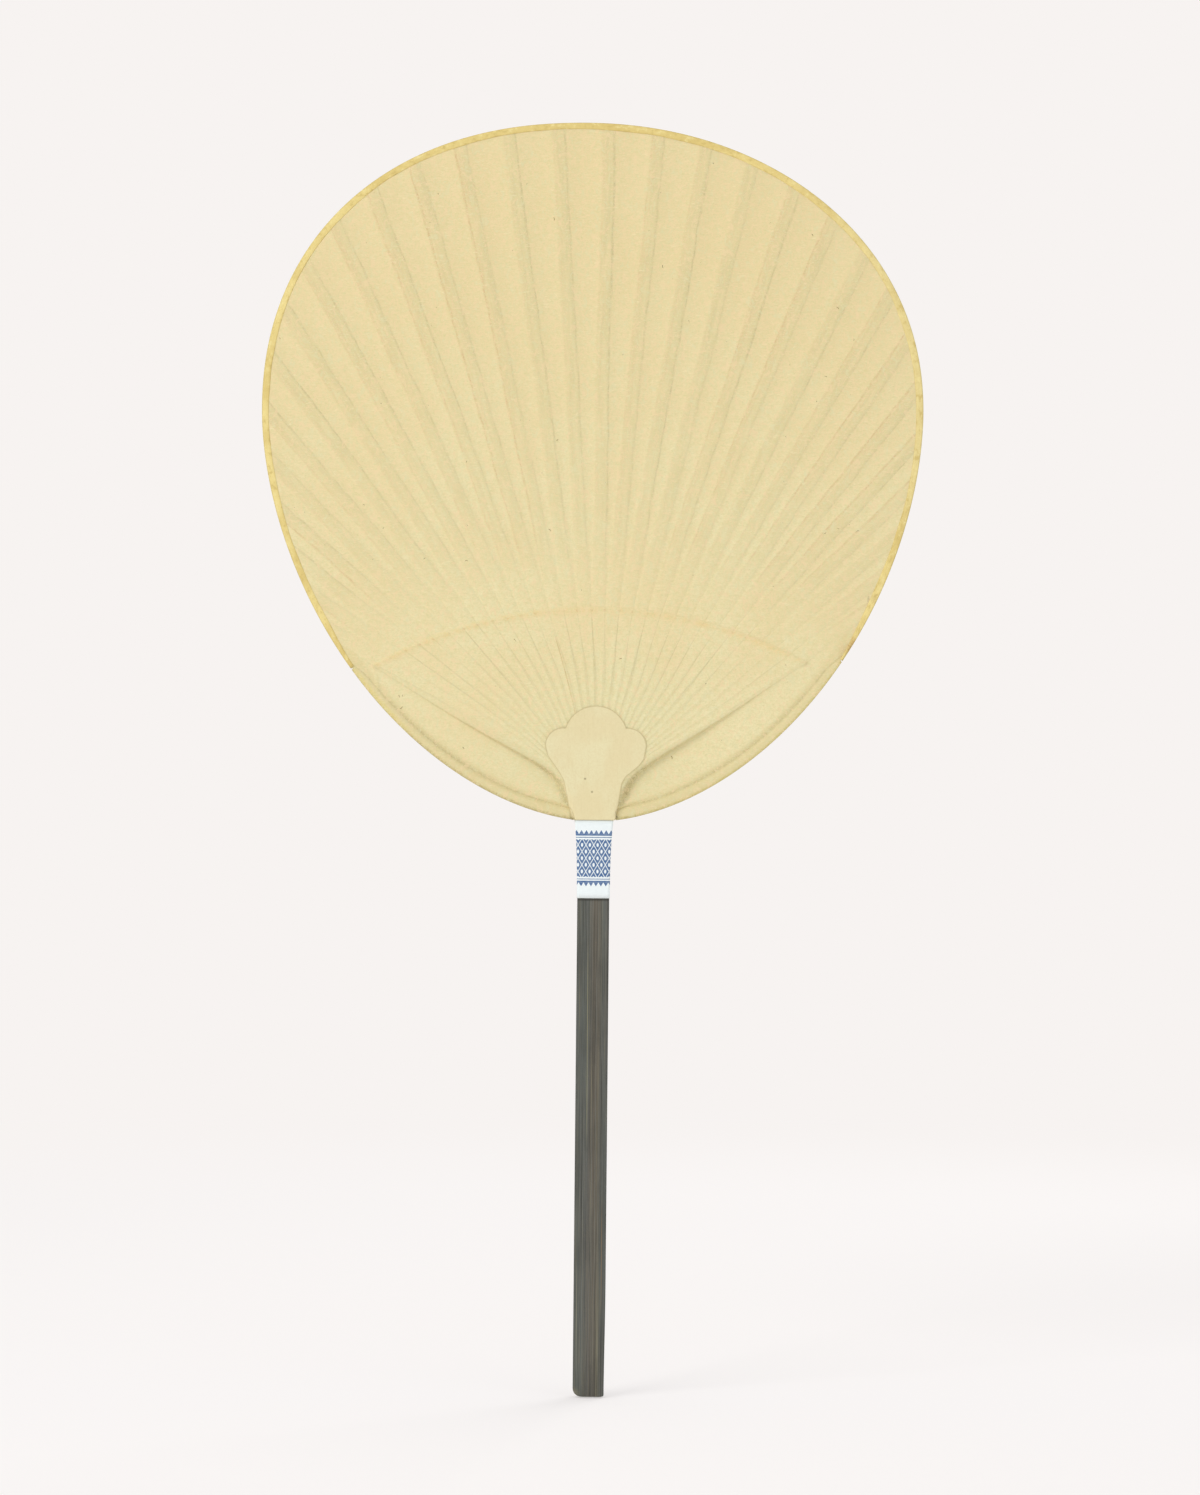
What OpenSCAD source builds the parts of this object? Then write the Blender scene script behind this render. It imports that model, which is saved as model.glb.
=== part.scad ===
// Round paper fan on a split bamboo slat.
// The handle stands along Z with its butt on the origin, and the front of the blade faces -Y.
// The top of the slat is split into ribs that leave it on edge and turn flat as they fan out.

/* [Handle] */
// Length from the butt to the lowest point of the blade's outline
handle_len = 221.1; // [150:0.1:300]
// Width of the bar that the hand holds
handle_w = 12.3; // [10:0.1:14]
// Thickness of the bamboo slat
handle_t = 6; // [5.4:0.1:8]
// Width of the slat where the ribs begin
root_w = 16.5; // [15:0.1:22]
// Rounding of the bar's long edges
edge_r = 0.8; // [0.3:0.1:1.5]
// Rounding of the butt's worn left corner
worn_corner_r = 3.2; // [1:0.1:5]
// Rounding of the butt's right corner
butt_corner_r = 0.8; // [0.3:0.1:3]

/* [Blade outline] */
// Width of the blade at its widest line
blade_w = 254.8; // [200:0.2:300]
// Height of the blade above its widest line
crown_h = 111.6; // [90:0.2:140]
// Height of the blade below its widest line
belly_h = 157.7; // [130:0.1:190]
// Fullness of the crown, where 2 is an ellipse
crown_full = 2.13; // [1.9:0.01:2.4]
// Fullness of the belly, where 2 is an ellipse
belly_full = 1.815; // [1.7:0.005:2.1]
// How far the top of the crown leans to the left
crown_lean = 5.8; // [0:0.1:10]
// How far the blade as a whole sits to the left of the handle's line
blade_shift = 2; // [0:0.1:4]
// Turn of the blade to the left, in degrees
blade_tilt = 1.45; // [0:0.05:3]

/* [Ribs] */
// Number of ribs that the slat is split into
rib_count = 30; // [22:1:36]
// Width of the saw or knife cut between two ribs
kerf = 0.07; // [0.04:0.01:0.12]
// Width of a rib in the blade, where it lies flat
rib_w = 4.6; // [3:0.1:5]
// Depth shaved off each face of the slat along the ribs
rib_shave = 0.2; // [0.1:0.05:0.6]
// Solid bamboo left between the bow's hole and the ribs
root_wall = 2.7; // [2:0.1:5]
// Angle from the middle of the fan to its outermost rib
fan_half = 57; // [50:0.5:62]
// How much closer the outer ribs lie than the middle ones
fan_bunch = 0.1; // [0:0.01:0.15]
// Height over which the ribs rise as one bundle
bundle_rise = 15; // [8:0.5:20]
// How much the bundle widens over that height
bundle_flare = 1.4; // [1:0.05:1.6]

/* [Thread] */
// Height of the woven thread over the foot of the blade, at the middle
thread_rise = 81.5; // [70:0.5:100]
// Radius of the arc that the thread follows
thread_arc_r = 172; // [140:1:220]
// Diameter of the thread
thread_d = 0.45; // [0.3:0.05:0.8]

/* [Bow] */
// Width of the bow in the plane of the blade, at the handle
bow_w = 3.6; // [2.8:0.1:4]
// Thickness of the bow at the handle
bow_t = 3; // [2:0.1:3.6]
// Width of the bow at its shaved tips
bow_tip_w = 2; // [1.6:0.1:2.6]
// Play of the bow in its hole
bow_play = 0.35; // [0.25:0.05:0.5]
// Angle from the blade's widest line down to the tips of the bow
bow_reach = 46; // [42:0.5:52]

/* [Paper] */
// Thickness of the two facing papers
paper_t = 0.2; // [0.15:0.01:0.3]
// Sag of the paper between two ribs that stand on edge
paper_sag = 0.25; // [0:0.05:0.4]
// Width of the crease beside the bow
crease_w = 1.2; // [0.8:0.1:2]
// Paste line between two pieces that lie on each other
paste = 0.05; // [0.02:0.01:0.08]

/* [Edge strip] */
// Width of the strip that is folded over the rim, on each face
strip_w = 3; // [2:0.1:6]
// Thickness of the strip
strip_t = 0.2; // [0.15:0.01:0.3]
// Length over which the strip narrows at each end, in degrees round the rim
strip_taper = 9; // [4:1:20]

/* [Neck patches] */
// Thickness of the patches pasted over the neck
patch_t = 0.2; // [0.15:0.01:0.3]
// Height of a patch above the foot of the paper
patch_h = 44; // [40:0.5:55]
// Radius of a patch's top lobe
top_lobe_r = 12.3; // [10:0.1:14]
// Radius of a patch's side lobes
side_lobe_r = 7; // [5:0.1:8]
// Distance from one side lobe's centre to the other's
side_lobe_gap = 25; // [22:0.5:28]
// Depth of the side lobes' centres below the top lobe's centre
side_lobe_drop = 3.2; // [1:0.1:6]

/* [Label] */
// Height of the paper label wrapped round the top of the handle
label_h = 30; // [20:0.5:45]
// Thickness of the label
label_t = 0.2; // [0.15:0.01:0.4]

/* [Hidden] */
$fn = 48;

// Heights that other pieces are set from
centre_z = handle_len + belly_h;
base_x = belly_h * sin(blade_tilt) - blade_shift;
mouth_gap = 1.1;
mouth_x = mix(handle_w, root_w, 0.6) / 2 + mouth_gap;
foot_z = (outline_pt(mouth_angle(-1))[1] + outline_pt(mouth_angle(1))[1]) / 2;
label_z = foot_z - label_h - paste;
bow_inset = paper_t + paste;
hole_r = bow_w / 2 + bow_play;
hole_z = (mouth_pt(-1)[1] + mouth_pt(1)[1]) / 2;
mouth_z = hole_z + bow_w / 2;
root_z = hole_z + hole_r + root_wall;

// Sizes of the split ribs
rib_pitch = root_w / rib_count;
rib_t = rib_pitch - kerf;
rib_root_w = handle_t - 2 * rib_shave;
apex_rise = 3.2;
fan_apex = [0, root_z + apex_rise];
fan_pull = 19;
last_rib = rib_count - 1;
rib_sink = 1.5;

// Levels of the layers, as half thicknesses measured from the middle plane
slat_y = handle_t / 2;
rib_y = rib_t / 2;
thread_y = rib_y + thread_d + paste;
lip_y = rib_y + paper_t + 2 * paste;
lap = 5;
rim_inset = strip_t + paste + 0.1;
paper_edge_gap = 0.25;
flank_w = 0.45;

// Stations up a rib: from 0 at the slat to 5 at the thread, 6 past the thread and 7 at the rim
way = [0, 0.2, 0.4, 0.6, 0.8, 1];
AT_THREAD = 5;
PAST_THREAD = 6;
AT_RIM = 7;
// Share of the bow, from the handle to its tip, that lies beside each station
bow_way = [0.09, 0.23, 0.38, 0.54, 0.7, 0.86, 0.93, 1];

// General helpers
function mix(a, b, f) = a + (b - a) * f;
function clamp(v) = min(1, max(0, v));
function smooth(f) = f * f * (3 - 2 * f);
function unit(v) = v / norm(v);
function ray(a) = [sin(a), cos(a)];
function right_of(v) = [v[1], -v[0]];
function turned(p, a) = [p[0] * cos(a) - p[1] * sin(a), p[0] * sin(a) + p[1] * cos(a)];
function at(p, y) = [p[0], y, p[1]];
function flat(lists) = [for (l = lists) for (v = l) v];

// Outline of the blade: a point at an angle round its centre, moved in by d
function outline_pt(a, d = 0) =
    let (up = sin(a) > 0,
         w = blade_w / 2 - d,
         h = (up ? crown_h : belly_h) - d,
         n = up ? crown_full : belly_full,
         r = pow(pow(abs(cos(a)) / w, n) + pow(abs(sin(a)) / h, n), -1 / n),
         lean = up ? crown_lean * pow(r * sin(a) / h, 2) : 0)
    [-blade_shift, centre_z] + turned([r * cos(a) - lean, r * sin(a)], blade_tilt);

// Below 1 inside the outline moved in by d, and above 1 outside it
function outline_level(p, d) =
    let (q = turned(p - [-blade_shift, centre_z], -blade_tilt),
         up = q[1] > 0,
         w = blade_w / 2 - d,
         h = (up ? crown_h : belly_h) - d,
         n = up ? crown_full : belly_full,
         lean = up ? crown_lean * pow(q[1] / h, 2) : 0)
    pow(abs(q[0] + lean) / w, n) + pow(abs(q[1]) / h, n);

// Where a straight line from p meets the outline moved in by d
function rim_pt(p, u, d, near = 0, far = 400, steps = 26) =
    let (half = (near + far) / 2)
    steps == 0 ? p + near * u
    : outline_level(p + half * u, d) < 1 ? rim_pt(p, u, d, half, far, steps - 1)
    : rim_pt(p, u, d, near, half, steps - 1);

// Half width of the slat, which flares from the bar to the ribs' root
function slat_half(z) =
    mix(handle_w, root_w, pow(clamp((z - label_z) / (root_z - label_z)), 3)) / 2;

// The bow: angle round the blade at a share of the way from the handle to its tip
function mouth_angle(side) = -90 + atan((side * mouth_x - base_x) / belly_h);
function tip_angle(side) = side > 0 ? -bow_reach : bow_reach - 180;
function bow_angle(side, f) = mix(mouth_angle(side), tip_angle(side), f);
function bow_width(f) = mix(bow_w, bow_tip_w, f);
function bow_y(f) = mix(bow_t, rib_t, f) / 2;
function bow_pt(side, f) = outline_pt(bow_angle(side, f), bow_inset + bow_width(f) / 2);
function mouth_pt(side) = bow_pt(side, 0);
function mouth_top(side) = mouth_pt(side)[1] + bow_w / 2;

// The ribs: angle, route and twist
function rib_u(i) = 2 * i / last_rib - 1;
function rib_angle(i) =
    fan_half * ((1 + fan_bunch) * rib_u(i) - fan_bunch * pow(rib_u(i), 3)) - blade_tilt;
function root_x(i) = (i - last_rib / 2) * rib_pitch;
function thread_reach(i) =
    let (drop = fan_apex[1] - (handle_len + thread_rise - thread_arc_r),
         e = drop * cos(rib_angle(i)))
    sqrt(e * e - drop * drop + thread_arc_r * thread_arc_r) - e;
function rib_hull(i) =
    [[root_x(i), root_z],
     [root_x(i) * bundle_flare, root_z + bundle_rise],
     fan_apex + fan_pull * ray(rib_angle(i)),
     fan_apex + thread_reach(i) * ray(rib_angle(i))];
function curve_pt(c, q) =
    pow(1 - q, 3) * c[0] + 3 * q * pow(1 - q, 2) * c[1] + 3 * q * q * (1 - q) * c[2] + pow(q, 3) * c[3];
function curve_run(c, q) =
    unit(pow(1 - q, 2) * (c[1] - c[0]) + 2 * q * (1 - q) * (c[2] - c[1]) + q * q * (c[3] - c[2]));
function rib_run(i, k) = k < AT_THREAD ? curve_run(rib_hull(i), way[k]) : ray(rib_angle(i));
function rib_mid(i, k) =
    k <= AT_THREAD ? curve_pt(rib_hull(i), way[k])
    : rib_mid(i, AT_THREAD) + lap * rib_run(i, AT_THREAD);
function twist(k) = k < AT_THREAD ? 90 * smooth(pow(way[k], 1.8)) : 90;
function rib_width(k) = k < AT_THREAD ? mix(rib_root_w, rib_w, way[k]) : rib_w;
function rib_reach_y(k) = rib_width(k) / 2 * cos(twist(k)) + rib_y * sin(twist(k));
function rib_reach_x(k) = rib_width(k) / 2 * sin(twist(k)) + rib_y * cos(twist(k));
function rib_peak_x(k) = rib_reach_x(k) - 2 * rib_y * cos(twist(k));

// Point on row k that lies a distance to the right of rib i, or to the left if it is negative
function row_run(i, k, side) =
    let (j = side > 0 ? min(i, last_rib - 1) : max(i - 1, 0))
    unit(rib_mid(j + 1, k) - rib_mid(j, k));
function beside(i, k, d) =
    let (run = row_run(i, k, d))
    rib_mid(i, k) + d / (run * right_of(rib_run(i, k))) * run;
function gap_at(i, k) =
    let (j = min(i, last_rib - 1))
    (rib_mid(j + 1, k) - rib_mid(j, k)) * right_of(rib_run(j, k));

// Corners of a rib's section, turned by its twist, and its end cut to the rim
corners = [[-1, -1], [-1, 1], [1, 1], [1, -1]];
function rib_ring(i, k, sink = 0) =
    [for (c = corners)
        let (a = twist(k),
             w = rib_width(k) / 2,
             across = c[0] * w * sin(a) + c[1] * rib_y * cos(a),
             deep = c[1] * rib_y * sin(a) - c[0] * w * cos(a))
        at(beside(i, k, across) - sink * rib_run(i, k), deep)];
function rib_end(i) =
    [for (c = corners)
        at(rim_pt(beside(i, PAST_THREAD, c[0] * rib_w / 2), ray(rib_angle(i)), rim_inset),
           c[1] * rib_y)];

// Raised band of a facing paper over a rib, as distances to the right of the rib
// It peaks on the rib's own edge that faces it: the right edge in front, the left one behind
function band_w(i, k) =
    k < AT_THREAD ? max(0.3 * gap_at(i, k), min(2 * rib_peak_x(k), 0.55 * gap_at(i, k))) : rib_w;
function band(i, k, face) =
    k == 0 ? [-0.15, 0.15] * gap_at(i, k)
    : face < 0
        ? [rib_peak_x(k) - band_w(i, k), rib_peak_x(k)]
        : [-rib_peak_x(k), band_w(i, k) - rib_peak_x(k)];
function band_pt(i, k, side, face) = beside(i, k, band(i, k, face)[side > 0 ? 1 : 0]);
function foot_pt(i, k, side, face) =
    let (a = band_pt(i, k, side, face),
         b = band_pt(i + side, k, -side, face))
    mix(a, b, min(0.42, flank_w / norm(b - a)));
function edge_foot(i, k, side, face) =
    let (a = band_pt(i, k, side, face))
    a + side * min(0.3 * gap_at(i, k), flank_w) * row_run(i, k, side);

// The four lines of a paper over rib i, at station k
function low_pt(i, k, line, face) =
    let (side = line < 2 ? -1 : 1)
    line == 1 || line == 2 ? band_pt(i, k, side, face)
    : i + side < 0 || i + side > last_rib ? edge_foot(i, k, side, face)
    : foot_pt(i, k, side, face);
function paper_pt(i, k, line, face) =
    k < AT_RIM ? low_pt(i, k, line, face)
    : rim_pt(low_pt(i, PAST_THREAD, line, face), ray(rib_angle(i)), rim_inset);
function peak_y(k) = k <= 0 ? slat_y : k == AT_THREAD ? thread_y : rib_reach_y(min(k, PAST_THREAD));
function sag(k) = k == 3 ? 0.6 * paper_sag : k == 4 ? paper_sag : 0;
function paper_y(k, line, face) =
    let (peak = face < 0 ? 2 : 1)
    line == peak || k <= AT_THREAD ? peak_y(k) - (line == peak ? 0 : sag(k))
    : line == 1 || line == 2 ? peak_y(k) : paste / 2;

// A pair of points, on the inner and the outer face of a paper
function layer(p, y, face, t) = [at(p, face * y), at(p, face * (y + t))];

// Row of pairs over the ribs; row -1 is the foot of the paper, on the slat under the ribs
function slat_spot(p) = [p[0] * slat_half(foot_z) / (root_w / 2), foot_z];
function rib_row(k, face) =
    [for (i = [0 : last_rib]) for (line = [0 : 3])
        let (p = paper_pt(i, max(k, 0), line, face))
        layer(k < 0 ? slat_spot(p) : p, paper_y(k, line, face), face, paper_t)];

// Lines of a paper from the outermost rib out to the bow
function bow_share(k) = k < 0 ? 0 : bow_way[k];
function edge_rib(side) = side > 0 ? last_rib : 0;
function brow_pt(side, k) =
    let (i = edge_rib(side), step = min(k, PAST_THREAD))
    k < 0 ? [side * (slat_half(foot_z) + paper_edge_gap), foot_z]
    : k == 0 ? [side * (root_w / 2 + paper_edge_gap), root_z]
    : k < AT_RIM ? beside(i, step, side * (rib_reach_x(step) + flank_w + paper_edge_gap))
    : rim_pt(brow_pt(side, PAST_THREAD), ray(rib_angle(i)), rim_inset);
function brow_y(side, k, face) =
    k <= 0 || k == AT_THREAD ? peak_y(k)
    : k > AT_THREAD ? paste / 2
    : (peak_y(k) - sag(k)) * (side == -face ? 1 : 0.8);
function crease_pt(side, k) =
    k < 0 ? [side * (slat_half(mouth_z) + 2 * paper_edge_gap), mouth_top(side)]
    : k == AT_RIM ? outline_pt(tip_angle(side) + side * 1.3, rim_inset)
    : outline_pt(bow_angle(side, bow_share(k)), bow_inset + bow_width(bow_share(k)) + crease_w);
function crease_y(k) = k < 0 ? bow_y(0) + 2 * paste : k == AT_THREAD ? thread_d / 2 + paste : paste / 2;
function shoulder_d(k) = bow_inset + 0.8 * bow_width(bow_share(k));
function shoulder_pt(side, k) =
    k == AT_RIM ? outline_pt(tip_angle(side) + side * 0.5, rim_inset)
    : outline_pt(bow_angle(side, bow_share(k)), shoulder_d(k));
function shoulder_y(k) = bow_y(bow_share(k)) + paste;
// The slope is the line where the paper has come down from the outermost rib
function slope_share(side, k) =
    min(0.6, (1.5 * peak_y(k) + 0.2) / norm(crease_pt(side, k) - brow_pt(side, k)));
function slope_y(k) = k < 0 ? 0.8 * slat_y : k == 0 ? slat_y / 3 : crease_y(k);
function slope_pt(side, k) =
    k < 0 ? [side * (slat_half(mouth_z) + 1.4 * paper_edge_gap), mouth_top(side) + 0.15]
    : k == AT_RIM
        ? outline_pt(mix(rim_angle(brow_pt(side, k)), tip_angle(side) + side * 1.3, 0.4), rim_inset)
        : mix(brow_pt(side, k), crease_pt(side, k), slope_share(side, k));
function rim_angle(p) =
    let (q = turned(p - [-blade_shift, centre_z], -blade_tilt),
         a = atan2(q[1], q[0]))
    q[0] < 0 && a > 0 ? a - 360 : a;
function side_row(side, k, face) =
    [layer(brow_pt(side, k), brow_y(side, k, face), face, paper_t),
     layer(slope_pt(side, k), slope_y(k), face, paper_t),
     layer(crease_pt(side, k), crease_y(k), face, paper_t),
     layer(shoulder_pt(side, k), shoulder_y(k), face, paper_t)];

// The front paper is folded round the bow and pasted on its back
function hem_row(side, k) =
    let (a = bow_angle(side, bow_share(k)),
         near_y = shoulder_y(k),
         far_y = shoulder_y(k) + paper_t + paste)
    [[at(outline_pt(a, paper_t), -near_y), at(outline_pt(a), -near_y - paper_t)],
     [at(outline_pt(a, paper_t), far_y), at(outline_pt(a), far_y + paper_t)],
     [at(outline_pt(a, shoulder_d(k)), far_y), at(outline_pt(a, shoulder_d(k)), far_y + paper_t)]];
// The back paper stops on the bow, inside the fold
function back_edge_row(side, k) =
    let (a = bow_angle(side, bow_share(k)))
    [layer(outline_pt(a, bow_inset), shoulder_y(k), 1, paper_t)];

function reversed(list) = [for (n = [len(list) - 1 : -1 : 0]) list[n]];
function paper_row(k, face) =
    let (left = concat(side_row(-1, k, face), face < 0 ? hem_row(-1, k) : back_edge_row(-1, k)),
         right = concat(side_row(1, k, face), face < 0 ? hem_row(1, k) : back_edge_row(1, k)))
    concat(reversed(left), rib_row(k, face), right);

// Solid between the inner and the outer points of a grid of pairs
module sheet(grid, face) {
    rows = len(grid);
    cols = len(grid[0]);
    size = rows * cols;
    points = concat(
        [for (r = grid) for (p = r) p[0]],
        [for (r = grid) for (p = r) p[1]]);
    function id(r, c, outer) = outer * size + r * cols + c;
    skins = flat([for (r = [0 : rows - 2]) for (c = [0 : cols - 2]) c < cols / 2 - 1 ? [
        [id(r, c, 1), id(r + 1, c, 1), id(r + 1, c + 1, 1)],
        [id(r, c, 1), id(r + 1, c + 1, 1), id(r, c + 1, 1)],
        [id(r, c, 0), id(r + 1, c + 1, 0), id(r + 1, c, 0)],
        [id(r, c, 0), id(r, c + 1, 0), id(r + 1, c + 1, 0)]] : [
        [id(r, c, 1), id(r + 1, c, 1), id(r, c + 1, 1)],
        [id(r + 1, c, 1), id(r + 1, c + 1, 1), id(r, c + 1, 1)],
        [id(r, c, 0), id(r, c + 1, 0), id(r + 1, c, 0)],
        [id(r + 1, c, 0), id(r, c + 1, 0), id(r + 1, c + 1, 0)]]]);
    ends = flat([for (c = [0 : cols - 2]) [
        [id(0, c, 0), id(0, c, 1), id(0, c + 1, 1)],
        [id(0, c, 0), id(0, c + 1, 1), id(0, c + 1, 0)],
        [id(rows - 1, c, 1), id(rows - 1, c, 0), id(rows - 1, c + 1, 0)],
        [id(rows - 1, c, 1), id(rows - 1, c + 1, 0), id(rows - 1, c + 1, 1)]]]);
    sides = flat([for (r = [0 : rows - 2]) [
        [id(r, 0, 1), id(r, 0, 0), id(r + 1, 0, 0)],
        [id(r, 0, 1), id(r + 1, 0, 0), id(r + 1, 0, 1)],
        [id(r, cols - 1, 0), id(r, cols - 1, 1), id(r + 1, cols - 1, 1)],
        [id(r, cols - 1, 0), id(r + 1, cols - 1, 1), id(r + 1, cols - 1, 0)]]]);
    faces = concat(skins, ends, sides);
    polyhedron(points, face < 0 ? faces : [for (f = faces) reversed(f)]);
}

// Solid through a list of rings that have equally many points
module lofted(rings) {
    n = len(rings[0]);
    last = len(rings) - 1;
    walls = flat([for (r = [0 : last - 1]) for (c = [0 : n - 1])
        let (a = r * n + c, b = r * n + (c + 1) % n)
        c < n / 2 ? [[a, b, b + n], [a, b + n, a + n]] : [[a, b, a + n], [b, b + n, a + n]]]);
    caps = flat([for (c = [1 : n - 2]) [[0, c + 1, c], [last * n, last * n + c, last * n + c + 1]]]);
    polyhedron(flat(rings), concat(walls, caps));
}

// The slat's outline in the plane of the blade, above the bar
module slat_face(grow = 0) {
    steps = 14;
    heights = [for (n = [0 : steps]) mix(label_z, root_z, n / steps)];
    polygon(concat(
        [for (z = heights) [slat_half(z) + grow, z]],
        [for (z = reversed(heights)) [-slat_half(z) - grow, z]]));
}

module upright(thickness) {
    rotate([90, 0, 0])
        linear_extrude(height = thickness, center = true)
            children();
}

// Section of the bar, with its long edges rounded
module bar_section() {
    square([handle_w - 2 * edge_r, handle_t], center = true);
    square([handle_w, handle_t - 2 * edge_r], center = true);
    for (x = [-1, 1])
        for (y = [-1, 1])
            translate([x * (handle_w / 2 - edge_r), y * (slat_y - edge_r)])
                circle(edge_r);
}

// Square corner that is cut away to leave a round one
module corner_waste(r) {
    difference() {
        translate([-1, -1])
            square(r + 1);
        translate([r, r])
            circle(r);
    }
}

module bar_face(top) {
    difference() {
        translate([-handle_w, 0])
            square([2 * handle_w, top]);
        translate([-handle_w / 2, 0])
            corner_waste(worn_corner_r);
        translate([handle_w / 2, 0])
            mirror([1, 0])
                corner_waste(butt_corner_r);
    }
}

module slat() {
    lap_z = label_z + 1;
    difference() {
        union() {
            intersection() {
                linear_extrude(height = lap_z)
                    bar_section();
                upright(handle_t + 2)
                    bar_face(lap_z);
            }
            upright(handle_t)
                slat_face();
        }
        translate([0, 0, hole_z])
            rotate([0, 90, 0])
                cylinder(h = root_w + 2, r = hole_r, center = true);
    }
}

module rib(i) {
    lofted(concat(
        [rib_ring(i, 0, rib_sink)],
        [for (k = [0 : AT_THREAD]) rib_ring(i, k)],
        [rib_end(i)]));
}

module handle_with_ribs() {
    color([0.39, 0.38, 0.36]) {
        slat();
        for (i = [0 : last_rib])
            rib(i);
    }
}

// Section of the bow: a flat strip with its corners shaved off
function bow_ring(side, f) =
    let (m = bow_pt(side, f),
         out = unit(outline_pt(bow_angle(side, f)) - outline_pt(bow_angle(side, f), 1)),
         w = bow_width(f) / 2,
         y = bow_y(f))
    [for (c = [[1, -0.5], [0.5, -1], [-0.5, -1], [-1, -0.5], [-1, 0.5], [-0.5, 1], [0.5, 1], [1, 0.5]])
        at(m + c[0] * w * out, c[1] * y)];
bow_stations = [0, each [for (k = [0 : PAST_THREAD]) bow_way[k]]];
function bow_end(side) = mix(bow_ring(side, bow_way[PAST_THREAD]), bow_ring(side, 1), 0.25);

module bow() {
    color([0.86, 0.76, 0.52])
        lofted(concat(
            [bow_end(-1)],
            [for (f = reversed(bow_stations)) bow_ring(-1, f)],
            [for (f = bow_stations) bow_ring(1, f)],
            [bow_end(1)]));
}

// The thread runs in front of one rib and behind the next, and is tied to both tips of the bow
thread_run = concat(
    [tie_pt(-1), at(crease_pt(-1, AT_THREAD), 0), at(slope_pt(-1, AT_THREAD), 0)],
    flat([for (i = [0 : last_rib])
        let (y = (i % 2 == 0 ? -1 : 1) * (rib_y + thread_d / 2 + paste / 2),
             reach = rib_w / 2 + thread_d / 2)
        [at(beside(i, AT_THREAD, -reach), y), at(beside(i, AT_THREAD, reach), y)]]),
    [at(slope_pt(1, AT_THREAD), 0), at(crease_pt(1, AT_THREAD), 0), tie_pt(1)]);
function tie_pt(side) =
    let (f = bow_share(AT_THREAD))
    at(outline_pt(bow_angle(side, f), bow_inset + bow_width(f) + thread_d / 2 + paste), 0);

module thread_tube(path, d, sides) {
    last = len(path) - 1;
    lofted([for (n = [0 : last])
        let (before = unit(path[n] - path[max(n - 1, 0)] + (n == 0 ? path[1] - path[0] : [0, 0, 0])),
             after = unit(path[min(n + 1, last)] - path[n]
                          + (n == last ? path[last] - path[last - 1] : [0, 0, 0])),
             run = unit(before + after),
             stretch = 1 / sqrt((1 + before * after) / 2),
             up = unit(cross(run, [0, 1, 0])),
             wide = unit(cross(up, run)))
        [for (s = [0 : sides - 1])
            let (a = 360 * s / sides)
            path[n] + d / 2 * (cos(a) * up + sin(a) * stretch * wide)]]);
}

module rib_thread() {
    color([0.78, 0.62, 0.42])
        thread_tube(thread_run, thread_d, 5);
}

module front_paper() {
    color([0.91, 0.85, 0.66])
        sheet([for (k = [-1 : AT_RIM]) paper_row(k, -1)], -1);
}

module back_paper() {
    color([0.9, 0.83, 0.64])
        sheet([for (k = [-1 : AT_RIM]) paper_row(k, 1)], 1);
}

// Part of the rim between two insets, from one end of the strip to the other
strip_steps = 54;
function strip_angle(n) = mix(tip_angle(1) + 0.6, 180 + bow_reach - 0.6, n / strip_steps);
function strip_depth(n) =
    let (from_end = min(n, strip_steps - n) * (180 + 2 * bow_reach) / strip_steps)
    mix(strip_w * 0.55, strip_w, smooth(clamp(from_end / strip_taper)));
module rim_band(wall) {
    polygon(concat(
        [for (n = [0 : strip_steps]) outline_pt(strip_angle(n))],
        [for (n = [strip_steps : -1 : 0]) outline_pt(strip_angle(n), wall ? strip_t : strip_depth(n))]));
}

module edge_strip() {
    color([0.9, 0.81, 0.5]) {
        upright(2 * (lip_y + strip_t))
            rim_band(true);
        for (face = [-1, 1])
            translate([0, face * (lip_y + strip_t / 2), 0])
                upright(strip_t)
                    rim_band(false);
    }
}

// Three-lobed outline of a neck patch
module patch_face() {
    lobe_z = foot_z + patch_h - top_lobe_r;
    translate([0, lobe_z])
        circle(top_lobe_r, $fn = 36);
    for (side = [-1, 1])
        translate([side * side_lobe_gap / 2, lobe_z - side_lobe_drop])
            circle(side_lobe_r, $fn = 28);
    translate([-side_lobe_gap / 2, foot_z])
        square([side_lobe_gap, patch_h - top_lobe_r - side_lobe_drop - side_lobe_r / 2]);
}

// Thin shell over the ribs' own edges, that the patch is cut from
module neck_shell(face) {
    sheet([for (k = [-1 : 4])
        [for (i = [0 : last_rib / 8.001 : last_rib + 0.01])
            let (p = paper_pt(round(i), max(k, 0), face < 0 ? 2 : 1, face))
            layer(k < 0 ? slat_spot(p) : p, peak_y(k) + paper_t + paste, face, patch_t)]], face);
}

module neck_patch(face) {
    color([0.91, 0.86, 0.69])
        intersection() {
            upright(4 * handle_t)
                patch_face();
            neck_shell(face);
        }
}

module front_neck_patch() {
    neck_patch(-1);
}

module back_neck_patch() {
    neck_patch(1);
}

module label_band() {
    color([0.9, 0.93, 0.95])
        intersection() {
            translate([-root_w, -root_w, label_z])
                cube([2 * root_w, 2 * root_w, label_h]);
            difference() {
                upright(handle_t + 2 * label_t)
                    slat_face(label_t);
                upright(handle_t)
                    slat_face();
            }
        }
}

handle_with_ribs();
bow();
rib_thread();
back_paper();
front_paper();
edge_strip();
front_neck_patch();
back_neck_patch();
label_band();
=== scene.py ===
"""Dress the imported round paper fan: papers, binding, patches, label, handle and ribs, then light it."""

from __future__ import annotations

import logging
import math
from dataclasses import dataclass, field
from enum import Enum
from typing import Iterable, Optional, Sequence, Union

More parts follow.
